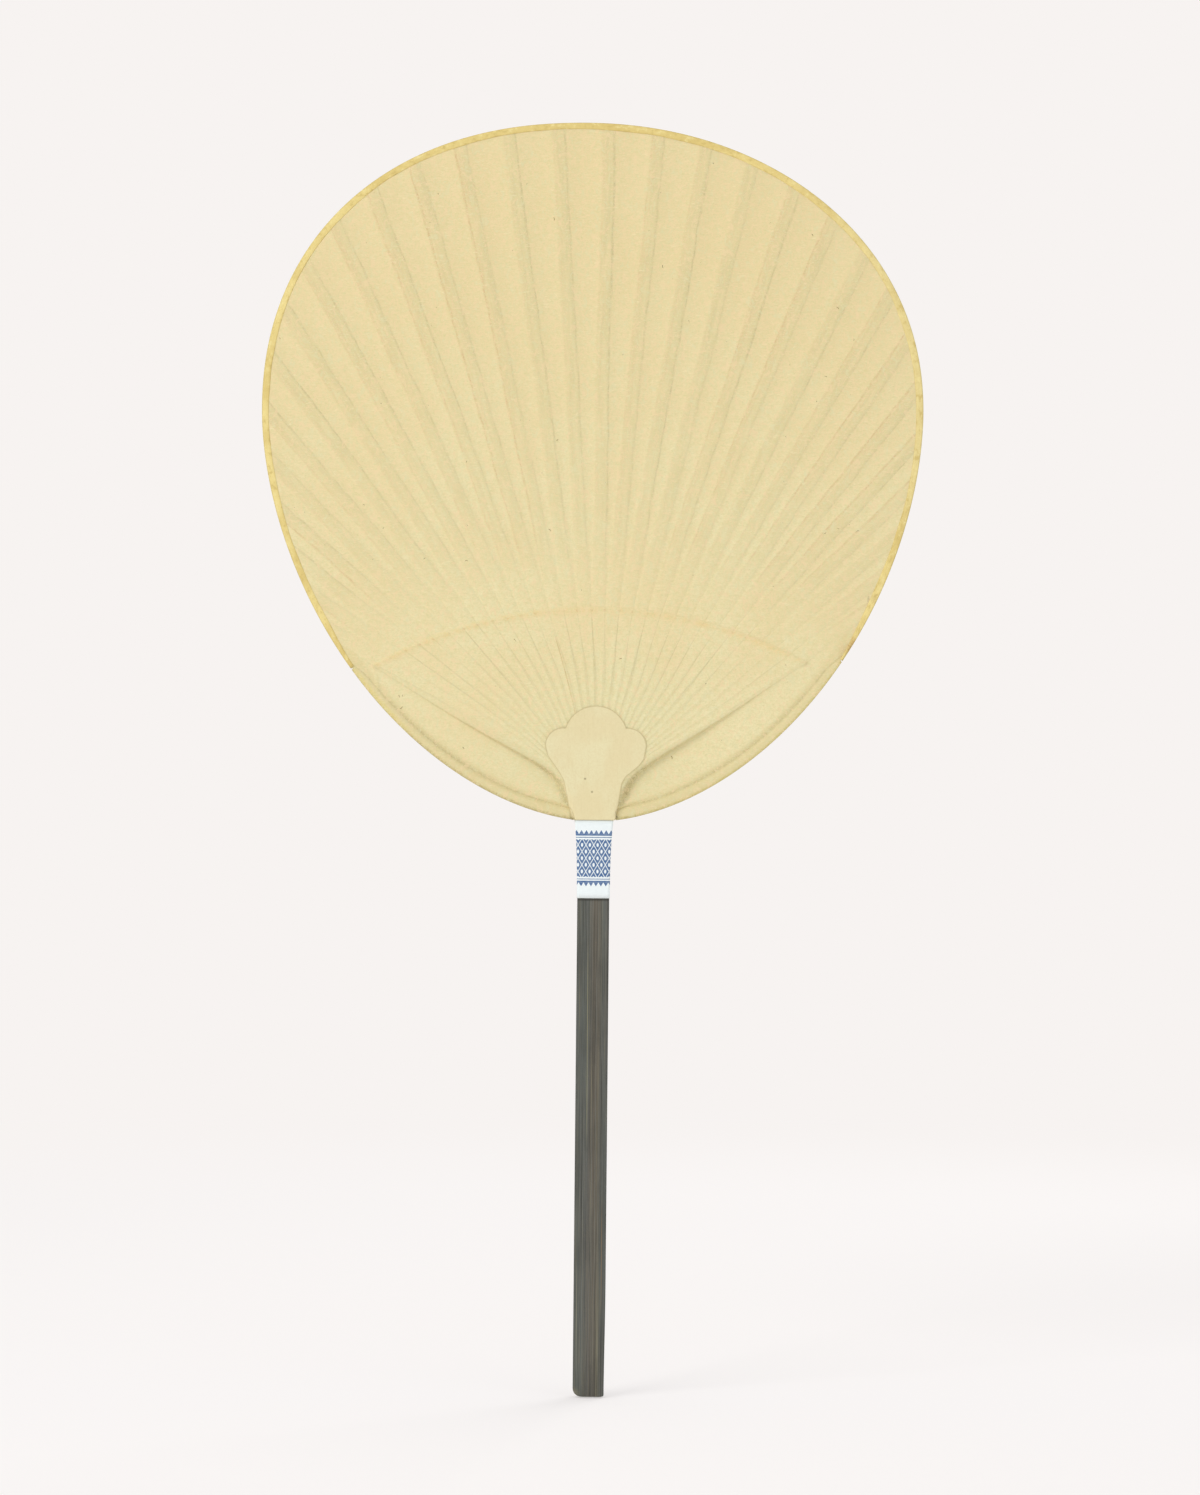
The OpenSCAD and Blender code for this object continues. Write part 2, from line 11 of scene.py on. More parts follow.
import bpy
from mathutils import Matrix, Vector, noise
from mathutils.bvhtree import BVHTree

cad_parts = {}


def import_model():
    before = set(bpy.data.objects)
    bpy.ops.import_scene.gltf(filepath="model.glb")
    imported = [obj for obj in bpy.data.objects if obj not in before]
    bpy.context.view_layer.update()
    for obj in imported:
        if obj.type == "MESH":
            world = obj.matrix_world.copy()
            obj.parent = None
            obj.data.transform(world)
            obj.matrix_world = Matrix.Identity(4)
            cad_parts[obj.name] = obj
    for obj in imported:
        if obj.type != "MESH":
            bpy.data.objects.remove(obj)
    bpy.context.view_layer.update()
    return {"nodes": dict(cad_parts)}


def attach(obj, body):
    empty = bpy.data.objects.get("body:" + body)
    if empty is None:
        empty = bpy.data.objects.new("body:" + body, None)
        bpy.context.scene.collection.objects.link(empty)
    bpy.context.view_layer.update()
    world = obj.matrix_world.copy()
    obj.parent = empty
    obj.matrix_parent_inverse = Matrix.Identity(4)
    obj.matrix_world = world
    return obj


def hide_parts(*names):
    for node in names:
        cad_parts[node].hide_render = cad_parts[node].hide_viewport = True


LOG = logging.getLogger("round_fan")
MM = 0.001
THREAD, PAST = 5, 6
PAST_MM = 5.0
MEAN_R = 125
RIM_PER_DEGREE = 2.2
Point2 = tuple[float, float]
Point3 = tuple[float, float, float]
Colour = tuple[float, float, float, float]
Marked = tuple[Point3, dict[str, float]]


class Face(Enum):
    """The two faces of the blade, with the sign of their Y direction."""

    FRONT = -1
    BACK = 1


class Side(Enum):
    """The two sides of the blade, as the front is seen."""

    LEFT = -1
    RIGHT = 1


def mix(a: float, b: float, f: float) -> float:
    """Return the value a share f of the way from a to b."""
    return a + (b - a) * f


def mix2(a: Point2, b: Point2, f: float) -> Point2:
    """Return the point a share f of the way from a to b."""
    return (a[0] + (b[0] - a[0]) * f, a[1] + (b[1] - a[1]) * f)


def clamp(v: float, low: float = 0.0, high: float = 1.0) -> float:
    """Return v held between two limits."""
    return min(high, max(low, v))


def smooth(f: float) -> float:
    """Return an S-shaped step of a share, held between 0 and 1."""
    f = clamp(f)
    return f * f * (3 - 2 * f)


def turned(p: Point2, degrees: float) -> Point2:
    """Return a point turned counter-clockwise about the origin."""
    c, s = math.cos(math.radians(degrees)), math.sin(math.radians(degrees))
    return (p[0] * c - p[1] * s, p[0] * s + p[1] * c)


def round_out(r: float, rise: float) -> float:
    """Return how far a rounded corner lies back from its side at a rise over its end."""
    return r - math.sqrt(max(0.0, r ** 2 - (r - rise) ** 2)) if rise < r else 0.0


def wave(x: float, z: float, seed: float) -> float:
    """Return smooth noise from -1 to 1 at a place in the plane of the blade."""
    return noise.noise(Vector((x, seed, z)))


def colour(red: float, green: float, blue: float) -> Colour:
    """Return a colour given in 0 to 255 screen values as scene values."""
    parts = [v / 255 for v in (red, green, blue)]
    return (*[v / 12.92 if v <= 0.04045 else ((v + 0.055) / 1.055) ** 2.4 for v in parts], 1.0)


@dataclass(frozen=True)
class FanPlan:
    """Sizes of the fan in millimetres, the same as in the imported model, and its ruling curves."""

    handle_len: float = 221.1
    handle_w: float = 12.3
    handle_t: float = 6.0
    root_w: float = 16.5
    edge_r: float = 0.8
    worn_corner_r: float = 3.2
    butt_corner_r: float = 0.8
    blade_w: float = 254.8
    crown_h: float = 111.6
    belly_h: float = 157.7
    crown_full: float = 2.13
    belly_full: float = 1.815
    crown_lean: float = 5.8
    blade_shift: float = 2.0
    blade_tilt: float = 1.45
    rib_count: int = 30
    kerf: float = 0.07
    rib_w: float = 4.6
    rib_shave: float = 0.2
    root_wall: float = 2.7
    fan_half: float = 57.0
    fan_bunch: float = 0.1
    bundle_rise: float = 15.0
    bundle_flare: float = 1.4
    fan_pull: float = 19.0
    apex_rise: float = 3.2
    thread_rise: float = 81.5
    thread_arc_r: float = 172.0
    thread_d: float = 0.45
    bow_w: float = 3.6
    bow_t: float = 3.0
    bow_tip_w: float = 2.0
    bow_play: float = 0.35
    bow_reach: float = 46.0
    mouth_gap: float = 1.1
    paper_t: float = 0.2
    crease_w: float = 1.2
    paste: float = 0.05
    strip_w: float = 3.0
    strip_t: float = 0.2
    strip_taper: float = 9.0
    rim_play: float = 0.1
    patch_t: float = 0.2
    patch_h: float = 44.0
    top_lobe_r: float = 12.3
    side_lobe_r: float = 7.0
    side_lobe_gap: float = 25.0
    side_lobe_drop: float = 3.2
    label_h: float = 30.0
    label_t: float = 0.2
    bow_way: tuple[float, ...] = (0.09, 0.23, 0.38, 0.54, 0.7, 0.86, 0.93, 1.0)

    @property
    def centre_z(self) -> float:
        """Height of the blade's widest line."""
        return self.handle_len + self.belly_h

    @property
    def mouth_x(self) -> float:
        """Distance from the middle to where the bow leaves the slat."""
        return mix(self.handle_w, self.root_w, 0.6) / 2 + self.mouth_gap

    @property
    def foot_z(self) -> float:
        """Height of the papers' foot on the slat."""
        return sum(self.outline(self.mouth_angle(side))[1] for side in Side) / 2

    @property
    def label_z(self) -> float:
        """Height of the label's lower edge."""
        return self.foot_z - self.label_h - self.paste

    @property
    def bow_inset(self) -> float:
        """Distance from the outline in to the bow."""
        return self.paper_t + self.paste

    @property
    def hole_z(self) -> float:
        """Height of the bow's hole in the slat."""
        return sum(self.bow_at(side, 0.0)[1] for side in Side) / 2

    @property
    def root_z(self) -> float:
        """Height where the slat is split into ribs."""
        return self.hole_z + self.bow_w / 2 + self.bow_play + self.root_wall

    @property
    def lobe_z(self) -> float:
        """Height of a patch's top lobe's centre."""
        return self.foot_z + self.patch_h - self.top_lobe_r

    @property
    def rib_t(self) -> float:
        """Thickness of a rib."""
        return self.root_w / self.rib_count - self.kerf

    @property
    def rib_root_w(self) -> float:
        """Width of a rib where it leaves the slat."""
        return self.handle_t - 2 * self.rib_shave

    @property
    def thread_y(self) -> float:
        """Half thickness of the blade over the thread."""
        return self.rib_t / 2 + self.thread_d + self.paste

    @property
    def rim_inset(self) -> float:
        """Distance from the outline in to the papers' upper edge."""
        return self.strip_t + self.paste + self.rim_play

    def form(self, upper: bool, inset: float) -> tuple[float, float, float]:
        """Return half width, height and fullness of the blade's upper or lower part."""
        high, full = (self.crown_h, self.crown_full) if upper else (self.belly_h, self.belly_full)
        return self.blade_w / 2 - inset, high - inset, full

    def outline(self, angle: float, inset: float = 0.0) -> Point2:
        """Return a point of the blade's outline.

        Args:
            angle: direction round the blade's centre, in degrees from the right.
            inset: distance in from the outline.

        Returns:
            X and Z of the point.
        """
        c, s = math.cos(math.radians(angle)), math.sin(math.radians(angle))
        w, h, n = self.form(s > 0, inset)
        r = (abs(c / w) ** n + abs(s / h) ** n) ** (-1 / n)
        lean = self.crown_lean * (r * s / h) ** 2 if s > 0 else 0.0
        x, z = turned((r * c - lean, r * s), self.blade_tilt)
        return (x - self.blade_shift, z + self.centre_z)

    def local(self, p: Point2) -> Point2:
        """Return a point as seen from the blade's own centre and axes."""
        return turned((p[0] + self.blade_shift, p[1] - self.centre_z), -self.blade_tilt)

    def level(self, p: Point2, inset: float) -> float:
        """Return a value below 1 inside the outline moved in by inset, and above 1 outside it."""
        x, z = self.local(p)
        w, h, n = self.form(z > 0, inset)
        lean = self.crown_lean * (z / h) ** 2 if z > 0 else 0.0
        return (abs(x + lean) / w) ** n + (abs(z) / h) ** n

    def to_rim(self, p: Point2, u: Point2, inset: float) -> Point2:
        """Return where a straight line from p along u meets the outline moved in by inset."""
        near, far = 0.0, 400.0
        for _ in range(26):
            half = (near + far) / 2
            if self.level((p[0] + half * u[0], p[1] + half * u[1]), inset) < 1:
                near = half
            else:
                far = half
        return (p[0] + near * u[0], p[1] + near * u[1])

    def rim_angle(self, p: Point2) -> float:
        """Return the outline's angle at a point, without a jump on the left side."""
        x, z = self.local(p)
        a = math.degrees(math.atan2(z, x))
        return a - 360 if x < 0 and a > 0 else a

    def slat_half(self, z: float) -> float:
        """Return the slat's half width at a height."""
        f = clamp((z - self.label_z) / (self.root_z - self.label_z))
        return mix(self.handle_w, self.root_w, f ** 3) / 2

    def mouth_angle(self, side: Side) -> float:
        """Return the outline's angle where the bow leaves the slat."""
        base_x = self.belly_h * math.sin(math.radians(self.blade_tilt)) - self.blade_shift
        return -90 + math.degrees(math.atan((side.value * self.mouth_x - base_x) / self.belly_h))

    def tip_angle(self, side: Side) -> float:
        """Return the outline's angle at a tip of the bow."""
        return -self.bow_reach if side is Side.RIGHT else self.bow_reach - 180

    def bow_angle(self, side: Side, f: float) -> float:
        """Return the outline's angle at a share of the bow's way from handle to tip."""
        return mix(self.mouth_angle(side), self.tip_angle(side), f)

    def bow_width(self, f: float) -> float:
        """Return the bow's width at a share of its way."""
        return mix(self.bow_w, self.bow_tip_w, f)

    def bow_y(self, f: float) -> float:
        """Return the bow's half thickness at a share of its way."""
        return mix(self.bow_t, self.rib_t, f) / 2

    def bow_at(self, side: Side, f: float) -> Point2:
        """Return the bow's middle at a share of its way."""
        return self.outline(self.bow_angle(side, f), self.bow_inset + self.bow_width(f) / 2)

    def bow_share(self, p: float) -> float:
        """Return the share of the bow that lies beside station p of the outermost rib."""
        if p <= 0:
            return mix(0.0, self.bow_way[0], clamp(p + 1))
        k = min(PAST, int(p))
        return mix(self.bow_way[k], self.bow_way[k + 1], clamp(p - k))


@dataclass
class RibFan:
    """The fan of ribs: where each rib runs and how it turns, by rib number and station.

    Station 0 is the slat, THREAD the thread, PAST is PAST_MM beyond it and PAST + 1 is the rim.
    """

    plan: FanPlan
    _mids: dict[tuple[int, float], Point2] = field(default_factory=dict)

    @property
    def last(self) -> int:
        """Number of the last rib."""
        return self.plan.rib_count - 1

    @property
    def apex(self) -> Point2:
        """Point that the ribs' straight parts aim away from."""
        return (0.0, self.plan.root_z + self.plan.apex_rise)

    def ray(self, i: float) -> Point2:
        """Return the direction of rib i's straight part."""
        p = self.plan
        u = 2 * i / self.last - 1
        a = math.radians(p.fan_half * ((1 + p.fan_bunch) * u - p.fan_bunch * u ** 3) - p.blade_tilt)
        return (math.sin(a), math.cos(a))

    def hull(self, i: int) -> list[Point2]:
        """Return the four control points of rib i's curve from the slat to the thread."""
        p = self.plan
        x = (i - self.last / 2) * p.root_w / p.rib_count
        u = self.ray(i)
        drop = self.apex[1] - (p.handle_len + p.thread_rise - p.thread_arc_r)
        e = drop * u[1]
        reach = math.sqrt(e * e - drop * drop + p.thread_arc_r ** 2) - e
        ax, az = self.apex
        return [(x, p.root_z), (x * p.bundle_flare, p.root_z + p.bundle_rise),
                (ax + p.fan_pull * u[0], az + p.fan_pull * u[1]), (ax + reach * u[0], az + reach * u[1])]

    def mid(self, i: int, p: float) -> Point2:
        """Return the middle of rib i at station p, up to station PAST."""
        key = (i, p)
        if key not in self._mids:
            c, q = self.hull(i), clamp(p / THREAD)
            w = ((1 - q) ** 3, 3 * q * (1 - q) ** 2, 3 * q * q * (1 - q), q ** 3)
            x, z = (sum(w[n] * c[n][a] for n in range(4)) for a in (0, 1))
            past, u = PAST_MM * max(0.0, p - THREAD), self.ray(i)
            self._mids[key] = (x + past * u[0], z + past * u[1])
        return self._mids[key]

    def run(self, i: int, p: float) -> Point2:
        """Return rib i's direction at station p."""
        if p >= THREAD:
            return self.ray(i)
        c, q = self.hull(i), clamp(p / THREAD)
        w = ((1 - q) ** 2, 2 * q * (1 - q), q * q)
        x, z = (sum(w[n] * (c[n + 1][a] - c[n][a]) for n in range(3)) for a in (0, 1))
        size = math.hypot(x, z)
        return (x / size, z / size)

    def beside(self, i: int, p: float, d: float) -> Point2:
        """Return the point of the row at station p that lies a distance d to the right of rib i."""
        j = min(i, self.last - 1) if d > 0 else max(i - 1, 0)
        a, b = self.mid(j, p), self.mid(j + 1, p)
        size = math.hypot(b[0] - a[0], b[1] - a[1])
        rx, rz = (b[0] - a[0]) / size, (b[1] - a[1]) / size
        u, m = self.run(i, p), self.mid(i, p)
        k = d / (rx * u[1] - rz * u[0])
        return (m[0] + k * rx, m[1] + k * rz)

    def gap(self, i: int, p: float) -> float:
        """Return the distance between rib i and the next one at station p."""
        j = min(i, self.last - 1)
        a, b, u = self.mid(j, p), self.mid(j + 1, p), self.run(j, p)
        return (b[0] - a[0]) * u[1] - (b[1] - a[1]) * u[0]

    def past_thread(self, i: int, p: float) -> float:
        """Return how far up rib i station p lies from the thread, below 0 under it."""
        return math.copysign(math.dist(self.mid(i, p), self.mid(i, float(THREAD))), p - THREAD)

    def twist(self, p: float) -> float:
        """Return how far a rib has turned from edge-on to flat at station p, in radians."""
        return math.radians(90 * smooth(clamp(p / THREAD) ** 1.8))

    def half_sizes(self, p: float) -> Point2:
        """Return half of a rib's width and half of its thickness at station p."""
        return (mix(self.plan.rib_root_w, self.plan.rib_w, clamp(p / THREAD)) / 2, self.plan.rib_t / 2)

    def reach_y(self, p: float) -> float:
        """Return how far a rib stands out from the middle plane."""
        t, (wide, thin) = self.twist(p), self.half_sizes(p)
        return wide * math.cos(t) + thin * math.sin(t)

    def reach_x(self, p: float) -> float:
        """Return how far a rib reaches to either side of its middle."""
        t, (wide, thin) = self.twist(p), self.half_sizes(p)
        return wide * math.sin(t) + thin * math.cos(t)

    def peak_x(self, p: float) -> float:
        """Return how far to the right of its middle a rib touches the front paper."""
        return self.reach_x(p) - self.plan.rib_t * math.cos(self.twist(p))

    def band_w(self, i: int, p: float) -> float:
        """Return the width of the raised band over rib i."""
        if p >= THREAD:
            return self.plan.rib_w
        gap, k = self.gap(i, p), min(p, THREAD - 1.0)
        low = clamp(2 * self.peak_x(k), 0.3 * gap, 0.55 * gap)
        return mix(low, self.plan.rib_w, smooth(p - (THREAD - 1)))


@dataclass
class Shape:
    """Points, faces and per-point values of one mesh, in millimetres."""

    points: list[Point3] = field(default_factory=list)
    faces: list[tuple[int, ...]] = field(default_factory=list)
    values: dict[str, list[float]] = field(default_factory=dict)

    def add(self, point: Point3, **values: float) -> int:
        """Add a point with its values and return its number."""
        self.points.append(point)
        for name, value in values.items():
            self.values.setdefault(name, []).append(value)
        return len(self.points) - 1

    def skin(self, rows: Sequence[Sequence[int]], flip: bool = False, closed: bool = False) -> None:
        """Join rows of point numbers with four-sided faces.

        Args:
            rows: rows of equally many point numbers.
            flip: turn the faces over.
            closed: join the last column to the first one.
        """
        wide = len(rows[0])
        for row, above in zip(rows, rows[1:]):
            for c in range(wide if closed else wide - 1):
                d = (c + 1) % wide
                quad = (row[c], row[d], above[d], above[c])
                self.faces.append(quad[::-1] if flip else quad)

    def to_object(self, name: str, material: bpy.types.Material) -> bpy.types.Object:
        """Turn the shape into a smooth object in metres, at the origin.

        Args:
            name: the piece's name.
            material: its finish.

        Returns:
            The new object.
        """
        mesh = bpy.data.meshes.new(name)
        mesh.from_pydata([(x * MM, y * MM, z * MM) for x, y, z in self.points], [], self.faces)
        for key, numbers in self.values.items():
            mesh.attributes.new(key, "FLOAT", "POINT").data.foreach_set("value", numbers)
        mesh.materials.append(material)
        mesh.validate()
        mesh.shade_smooth()
        mesh.update()
        return placed(name, mesh)


@dataclass
class Sheet(Shape):
    """A closed sheet, built row by row as an inner and an outer skin."""

    flip: bool = False
    skins: tuple[list[list[int]], list[list[int]]] = field(default_factory=lambda: ([], []))

    def row(self, pairs: Iterable[tuple[Marked, Marked]]) -> None:
        """Add a row of inner and outer points, each with its values."""
        for skin in self.skins:
            skin.append([])
        for pair in pairs:
            for skin, (point, values) in zip(self.skins, pair):
                skin[-1].append(self.add(point, **values))

    def close(self, name: str, material: bpy.types.Material) -> bpy.types.Object:
        """Join both skins and their edges, and return the sheet as an object."""
        inner, outer = self.skins
        self.skin(outer, self.flip)
        self.skin(inner, not self.flip)
        for a, b in ((inner[0], outer[0]), (outer[-1], inner[-1]),
                     ([r[0] for r in outer], [r[0] for r in inner]),
                     ([r[-1] for r in inner], [r[-1] for r in outer])):
            self.skin([a, b], self.flip)
        return self.to_object(name, material)


def placed(name: str, data: bpy.types.ID) -> bpy.types.Object:
    """Return a new object of a name in the scene, with its data."""
    piece = bpy.data.objects.new(name, data)
    bpy.context.scene.collection.objects.link(piece)
    return piece


def bake(piece: bpy.types.Object) -> None:
    """Turn a piece's modifiers into plain mesh and remove them."""
    graph = bpy.context.evaluated_depsgraph_get()
    graph.update()
    mesh = bpy.data.meshes.new_from_object(piece.evaluated_get(graph), depsgraph=graph)
    piece.modifiers.clear()
    piece.data = mesh
    mesh.name = piece.name


@dataclass
class Spot:
    """One column in a row of a paper: its inner and outer point, and what the finish asks for there."""

    inner: Point3
    outer: Point3
    rib: float
    past: float
    gap: float
    zone: float = 0.0
    # stain: painted shade for the folds and creases beside the outermost rib and the bow, mottled like soiling
    # by the finish
    stain: float = 0.0


@dataclass
class FacingPaper:
    """One of the two papers that the ribs lie between, tented over the ribs that stand on edge.

    The front paper is folded round the bow, and the back one ends on it. Each rib has six columns and one
    more halfway to the next rib.
    """

    plan: FanPlan
    fan: RibFan
    face: Face
    sag: float = 0.34
    sag_from: float = 1.4
    sag_over: float = 3.4
    flat_from: float = 4.05
    ride_reach: float = 1.75
    ride_slope: float = 1.3
    tip_turn: float = 1.3
    ridge_gap: float = 0.25
    flank: float = 0.8
    unevenness: float = 0.07
    slots: int = 7
    fold_steps: int = 9
    _rims: dict[tuple[int, int], tuple[Point2, Point2]] = field(default_factory=dict)

    def stations(self) -> list[float]:
        """Return the stations of the rows, closer together at the thread."""
        below = [-1 + n / 6 for n in range(6)] + [n / 8 for n in range(33)]
        near = [4.25, 4.45, 4.6, 4.72, 4.8, 4.86, 4.91, 4.955, 5.0, 5.07, 5.14, 5.21, 5.29, 5.38, 5.6]
        return below + near + [PAST + n / 46 for n in range(47)]

    def band(self, i: int, p: float) -> Point2:
        """Return how far right of rib i the raised band begins and ends at station p."""
        gap, w, peak = self.fan.gap(i, p), self.fan.band_w(i, p), self.fan.peak_x(p)
        ends = (peak - w, peak) if self.face is Face.FRONT else (-peak, w - peak)
        return mix2((-0.15 * gap, 0.15 * gap), ends, smooth(p))

    def columns(self, i: int, p: float) -> list[float]:
        """Return the distances right of rib i of its columns at station p."""
        left, right = self.band(i, p)
        foot = min(0.42 * max(0.0, self.fan.gap(i, p) - (right - left)), self.flank)
        return [left - foot, left, mix(left, right, 0.3), mix(left, right, 0.7), right, right + foot]

    def top(self, p: float) -> float:
        """Return the height at which the paper lies on a rib that stands on edge."""
        return mix(self.plan.handle_t / 2, self.fan.reach_y(p), smooth(p / 0.8))

    def ride(self, p: float, dist: float) -> float:
        """Return the share of the thread's height that lifts the paper at a distance from the thread."""
        return smooth((self.ride_reach - abs(dist)) / self.ride_slope) if p > THREAD - 1 else 0.0

    def height(self, i: int, p: float, d: float, dist: float) -> float:
        """Return the paper's height over the middle plane.

        Args:
            i: rib number.
            p: station.
            d: distance right of the rib.
            dist: distance up from the thread.

        Returns:
            Height of the paper's inner face.
        """
        plan = self.plan
        left, right = self.band(i, p)
        peak = right if self.face is Face.FRONT else left
        share = ((d - peak) / self.fan.gap(i, p)) % 1.0
        sag = self.sag * smooth((p - self.sag_from) / self.sag_over)
        tent = self.top(p) - sag * 4 * share * (1 - share)
        over = min(d - left, right - d)
        flat = mix(plan.paste / 2, plan.rib_t / 2, smooth((over + self.flank) / self.flank))
        high = mix(tent, flat, smooth(p - self.flat_from))
        return max(high, mix(high, plan.thread_y, self.ride(p, dist)))

    def rib_spot(self, i: int, p: float, slot: int) -> tuple[Point2, float, float, float]:
        """Return place, height, rib coordinate and distance from the thread of a column of rib i."""
        fan, k = self.fan, clamp(p, 0.0, PAST)
        if slot == self.slots - 1:
            a, b = self.rib_spot(i, k, slot - 1), self.rib_spot(i + 1, k, 0)
            spot, u, dist = mix2(a[0], b[0], 0.5), i + 0.5, (a[3] + b[3]) / 2
            high = self.height(i, k, fan.gap(i, k) / 2, dist)
        else:
            d, dist = self.columns(i, k)[slot], fan.past_thread(i, k)
            spot, u, high = fan.beside(i, k, d), i + d / fan.gap(i, k), self.height(i, k, d, dist)
        if p < 0:
            foot = self.plan.foot_z
            spot = mix2((spot[0] * self.plan.slat_half(foot) / (self.plan.root_w / 2), foot), spot, p + 1)
        return spot, high, u, dist

    def side_lines(self, side: Side, p: float) -> list[tuple[Point2, float]]:
        """Return place and height of brow, slope, crease and shoulder beside the outermost rib."""
        plan, fan, s = self.plan, self.fan, side.value
        i = fan.last if side is Side.RIGHT else 0
        k, f = clamp(p, 0.0, PAST), plan.bow_share(p)
        angle, ride = plan.bow_angle(side, f), self.ride(p, fan.past_thread(i, k))
        root = (s * (plan.root_w / 2 + self.ridge_gap), plan.root_z)
        brow = mix2(root, fan.beside(i, k, s * (fan.reach_x(k) + self.flank + self.ridge_gap)), smooth(k))
        top = self.top(k) * (1.0 if s == -self.face.value else 0.9)
        brow_y = mix(mix(top, plan.paste / 2, smooth(k - self.flat_from)), plan.thread_y, ride)
        crease = plan.outline(angle, plan.bow_inset + plan.bow_width(f) + plan.crease_w)
        crease_y = mix(plan.paste / 2, plan.thread_d / 2 + plan.paste, ride)
        slope = mix2(brow, crease, min(0.6, (1.15 * brow_y + 0.5) / math.dist(brow, crease)))
        slope_y = mix(mix(plan.handle_t / 6, crease_y, smooth(k / 0.9)), crease_y, ride)
        shoulder = plan.outline(angle, plan.bow_inset + 0.8 * plan.bow_width(f))
        if p < 0:
            mouth = plan.bow_at(side, 0.0)[1] + plan.bow_w / 2
            half = plan.slat_half(mouth)
            low = [(s * (plan.slat_half(plan.foot_z) + self.ridge_gap), plan.foot_z),
                   (s * (half + 1.4 * self.ridge_gap), mouth + 0.15), (s * (half + 0.5), mouth)]
            brow, slope, crease = (mix2(a, b, p + 1) for a, b in zip(low, (brow, slope, crease)))
            slope_y = mix(0.8 * plan.handle_t / 2, slope_y, p + 1)
            crease_y = mix(plan.bow_y(0) + 2 * plan.paste, crease_y, p + 1)
        if p > PAST:
            tip, deep = plan.tip_angle(side), plan.rim_inset
            rim, beyond = plan.to_rim(brow, fan.ray(i), deep), tip + s * self.tip_turn
            ends = [rim, plan.outline(mix(plan.rim_angle(rim), beyond, 0.4), deep),
                    plan.outline(beyond, deep), plan.outline(tip + s * 0.5, deep)]
            brow, slope, crease, shoulder = (
                mix2(a, b, p - PAST) for a, b in zip((brow, slope, crease, shoulder), ends))
        return [(brow, brow_y), (slope, slope_y), (crease, crease_y), (shoulder, plan.bow_y(f) + plan.paste)]

    def stains(self, p: float) -> list[float]:
        """Return how much painted shade, mottled like soiling, greys the paper at each point of side_spots:
        darkest in the fold by the rib, and also in the crease by the bow and round the front paper's hem.
        """
        deep = mix(1.0, 0.35, smooth(p / THREAD)) * (1 - smooth(p - 5.2))
        fold = [share * deep for share in (0.45, 0.8, 1.0, 0.8, 0.45, 0.2, 0.06)]
        edge = [0.0] * 4 + [0.05, 0.3, 0.55, 0.2] + [0.0] * 3
        hem = [0.05, 0.12, 0.4, 0.85, 1.0, 0.85, 0.4, 0.1, 0.05, 0.1, 0.3]
        return fold + edge + (hem if self.face is Face.FRONT else [0.1, 0.3])

    def layer(self, q: Point2, y: float, sign: int) -> tuple[Point3, Point3]:
        """Return the paper's inner and outer point at a place and a height on one side."""
        return ((q[0], sign * y, q[1]), (q[0], sign * (y + self.plan.paper_t), q[1]))

    def side_spots(self, side: Side, p: float) -> list[tuple[Point3, Point3]]:
        """Return the inner and outer points of a row from the outermost rib out to the bow's edge."""
        plan, sign, back = self.plan, self.face.value, Face.BACK.value
        lines = self.side_lines(side, p)
        panel = (0.0, 0.06, 0.16, 0.3, 0.45, 0.6, 0.75, 0.88, 0.95)
        quarters = (0.0, 0.25, 0.5, 0.75)
        spots: list[tuple[Point3, Point3]] = []
        for n, shares in enumerate((quarters, panel, quarters)):
            (a, low), (b, high) = lines[n:n + 2]
            for f in shares:
                bend = math.sin(f * math.pi / 2) if n == 2 else smooth(f)
                spots.append(self.layer(mix2(a, b, f), mix(low, high, bend), sign))
        f = plan.bow_share(p)
        angle, (shoulder, y) = plan.bow_angle(side, f), lines[3]
        deep = plan.bow_width(f) / 4 + plan.paste
        spots.append(self.layer(shoulder, y, sign))
        if self.face is Face.BACK:
            insets = (mix(plan.bow_inset, deep, 0.5) + 0.3, plan.bow_inset + 0.25)
            return spots + [self.layer(plan.outline(angle, inset), y, back) for inset in insets]
        far_y = y + plan.paper_t + plan.paste
        for n in range(self.fold_steps):
            t = math.pi * n / (self.fold_steps - 1)
            c, inset = math.cos(t), deep * (1 - math.sin(t) ** 0.7)
            level = -(y if c > 0 else far_y) * math.copysign(abs(c) ** 0.8, c)
            q = plan.outline(angle, plan.paper_t + inset)
            r = plan.outline(angle, plan.paper_t * (1 - math.sin(t)) + inset)
            spots.append(((q[0], level, q[1]), (r[0], level - plan.paper_t * c, r[1])))
        ends = [plan.outline(angle, plan.bow_inset + share * plan.bow_width(f)) for share in (0.5, 0.8)]
        return spots + [self.layer(end, far_y, back) for end in ends]

    def rib_row(self, p: float) -> list[Spot]:
        """Return the row over the ribs at station p, up to the rim."""
        plan, fan = self.plan, self.fan
        row: list[Spot] = []
        for n in range(plan.rib_count * self.slots - 1):
            i, slot = divmod(n, self.slots)
            place, high, u, dist = self.rib_spot(i, p, slot)
            if p >= PAST:
                if (i, slot) not in self._rims:
                    ray = fan.ray(i) if slot < self.slots - 1 else mix2(fan.ray(i), fan.ray(i + 1), 0.5)
                    self._rims[(i, slot)] = (place, plan.to_rim(place, ray, plan.rim_inset))
                start, end = self._rims[(i, slot)]
                place = mix2(start, end, p - PAST)
                dist += math.dist(place, start)
            row.append(Spot(*self.layer(place, high, self.face.value), u, dist,
                            fan.gap(i, clamp(p, 0.0, PAST))))
        if p > PAST:
            self.widen(row)
        return row

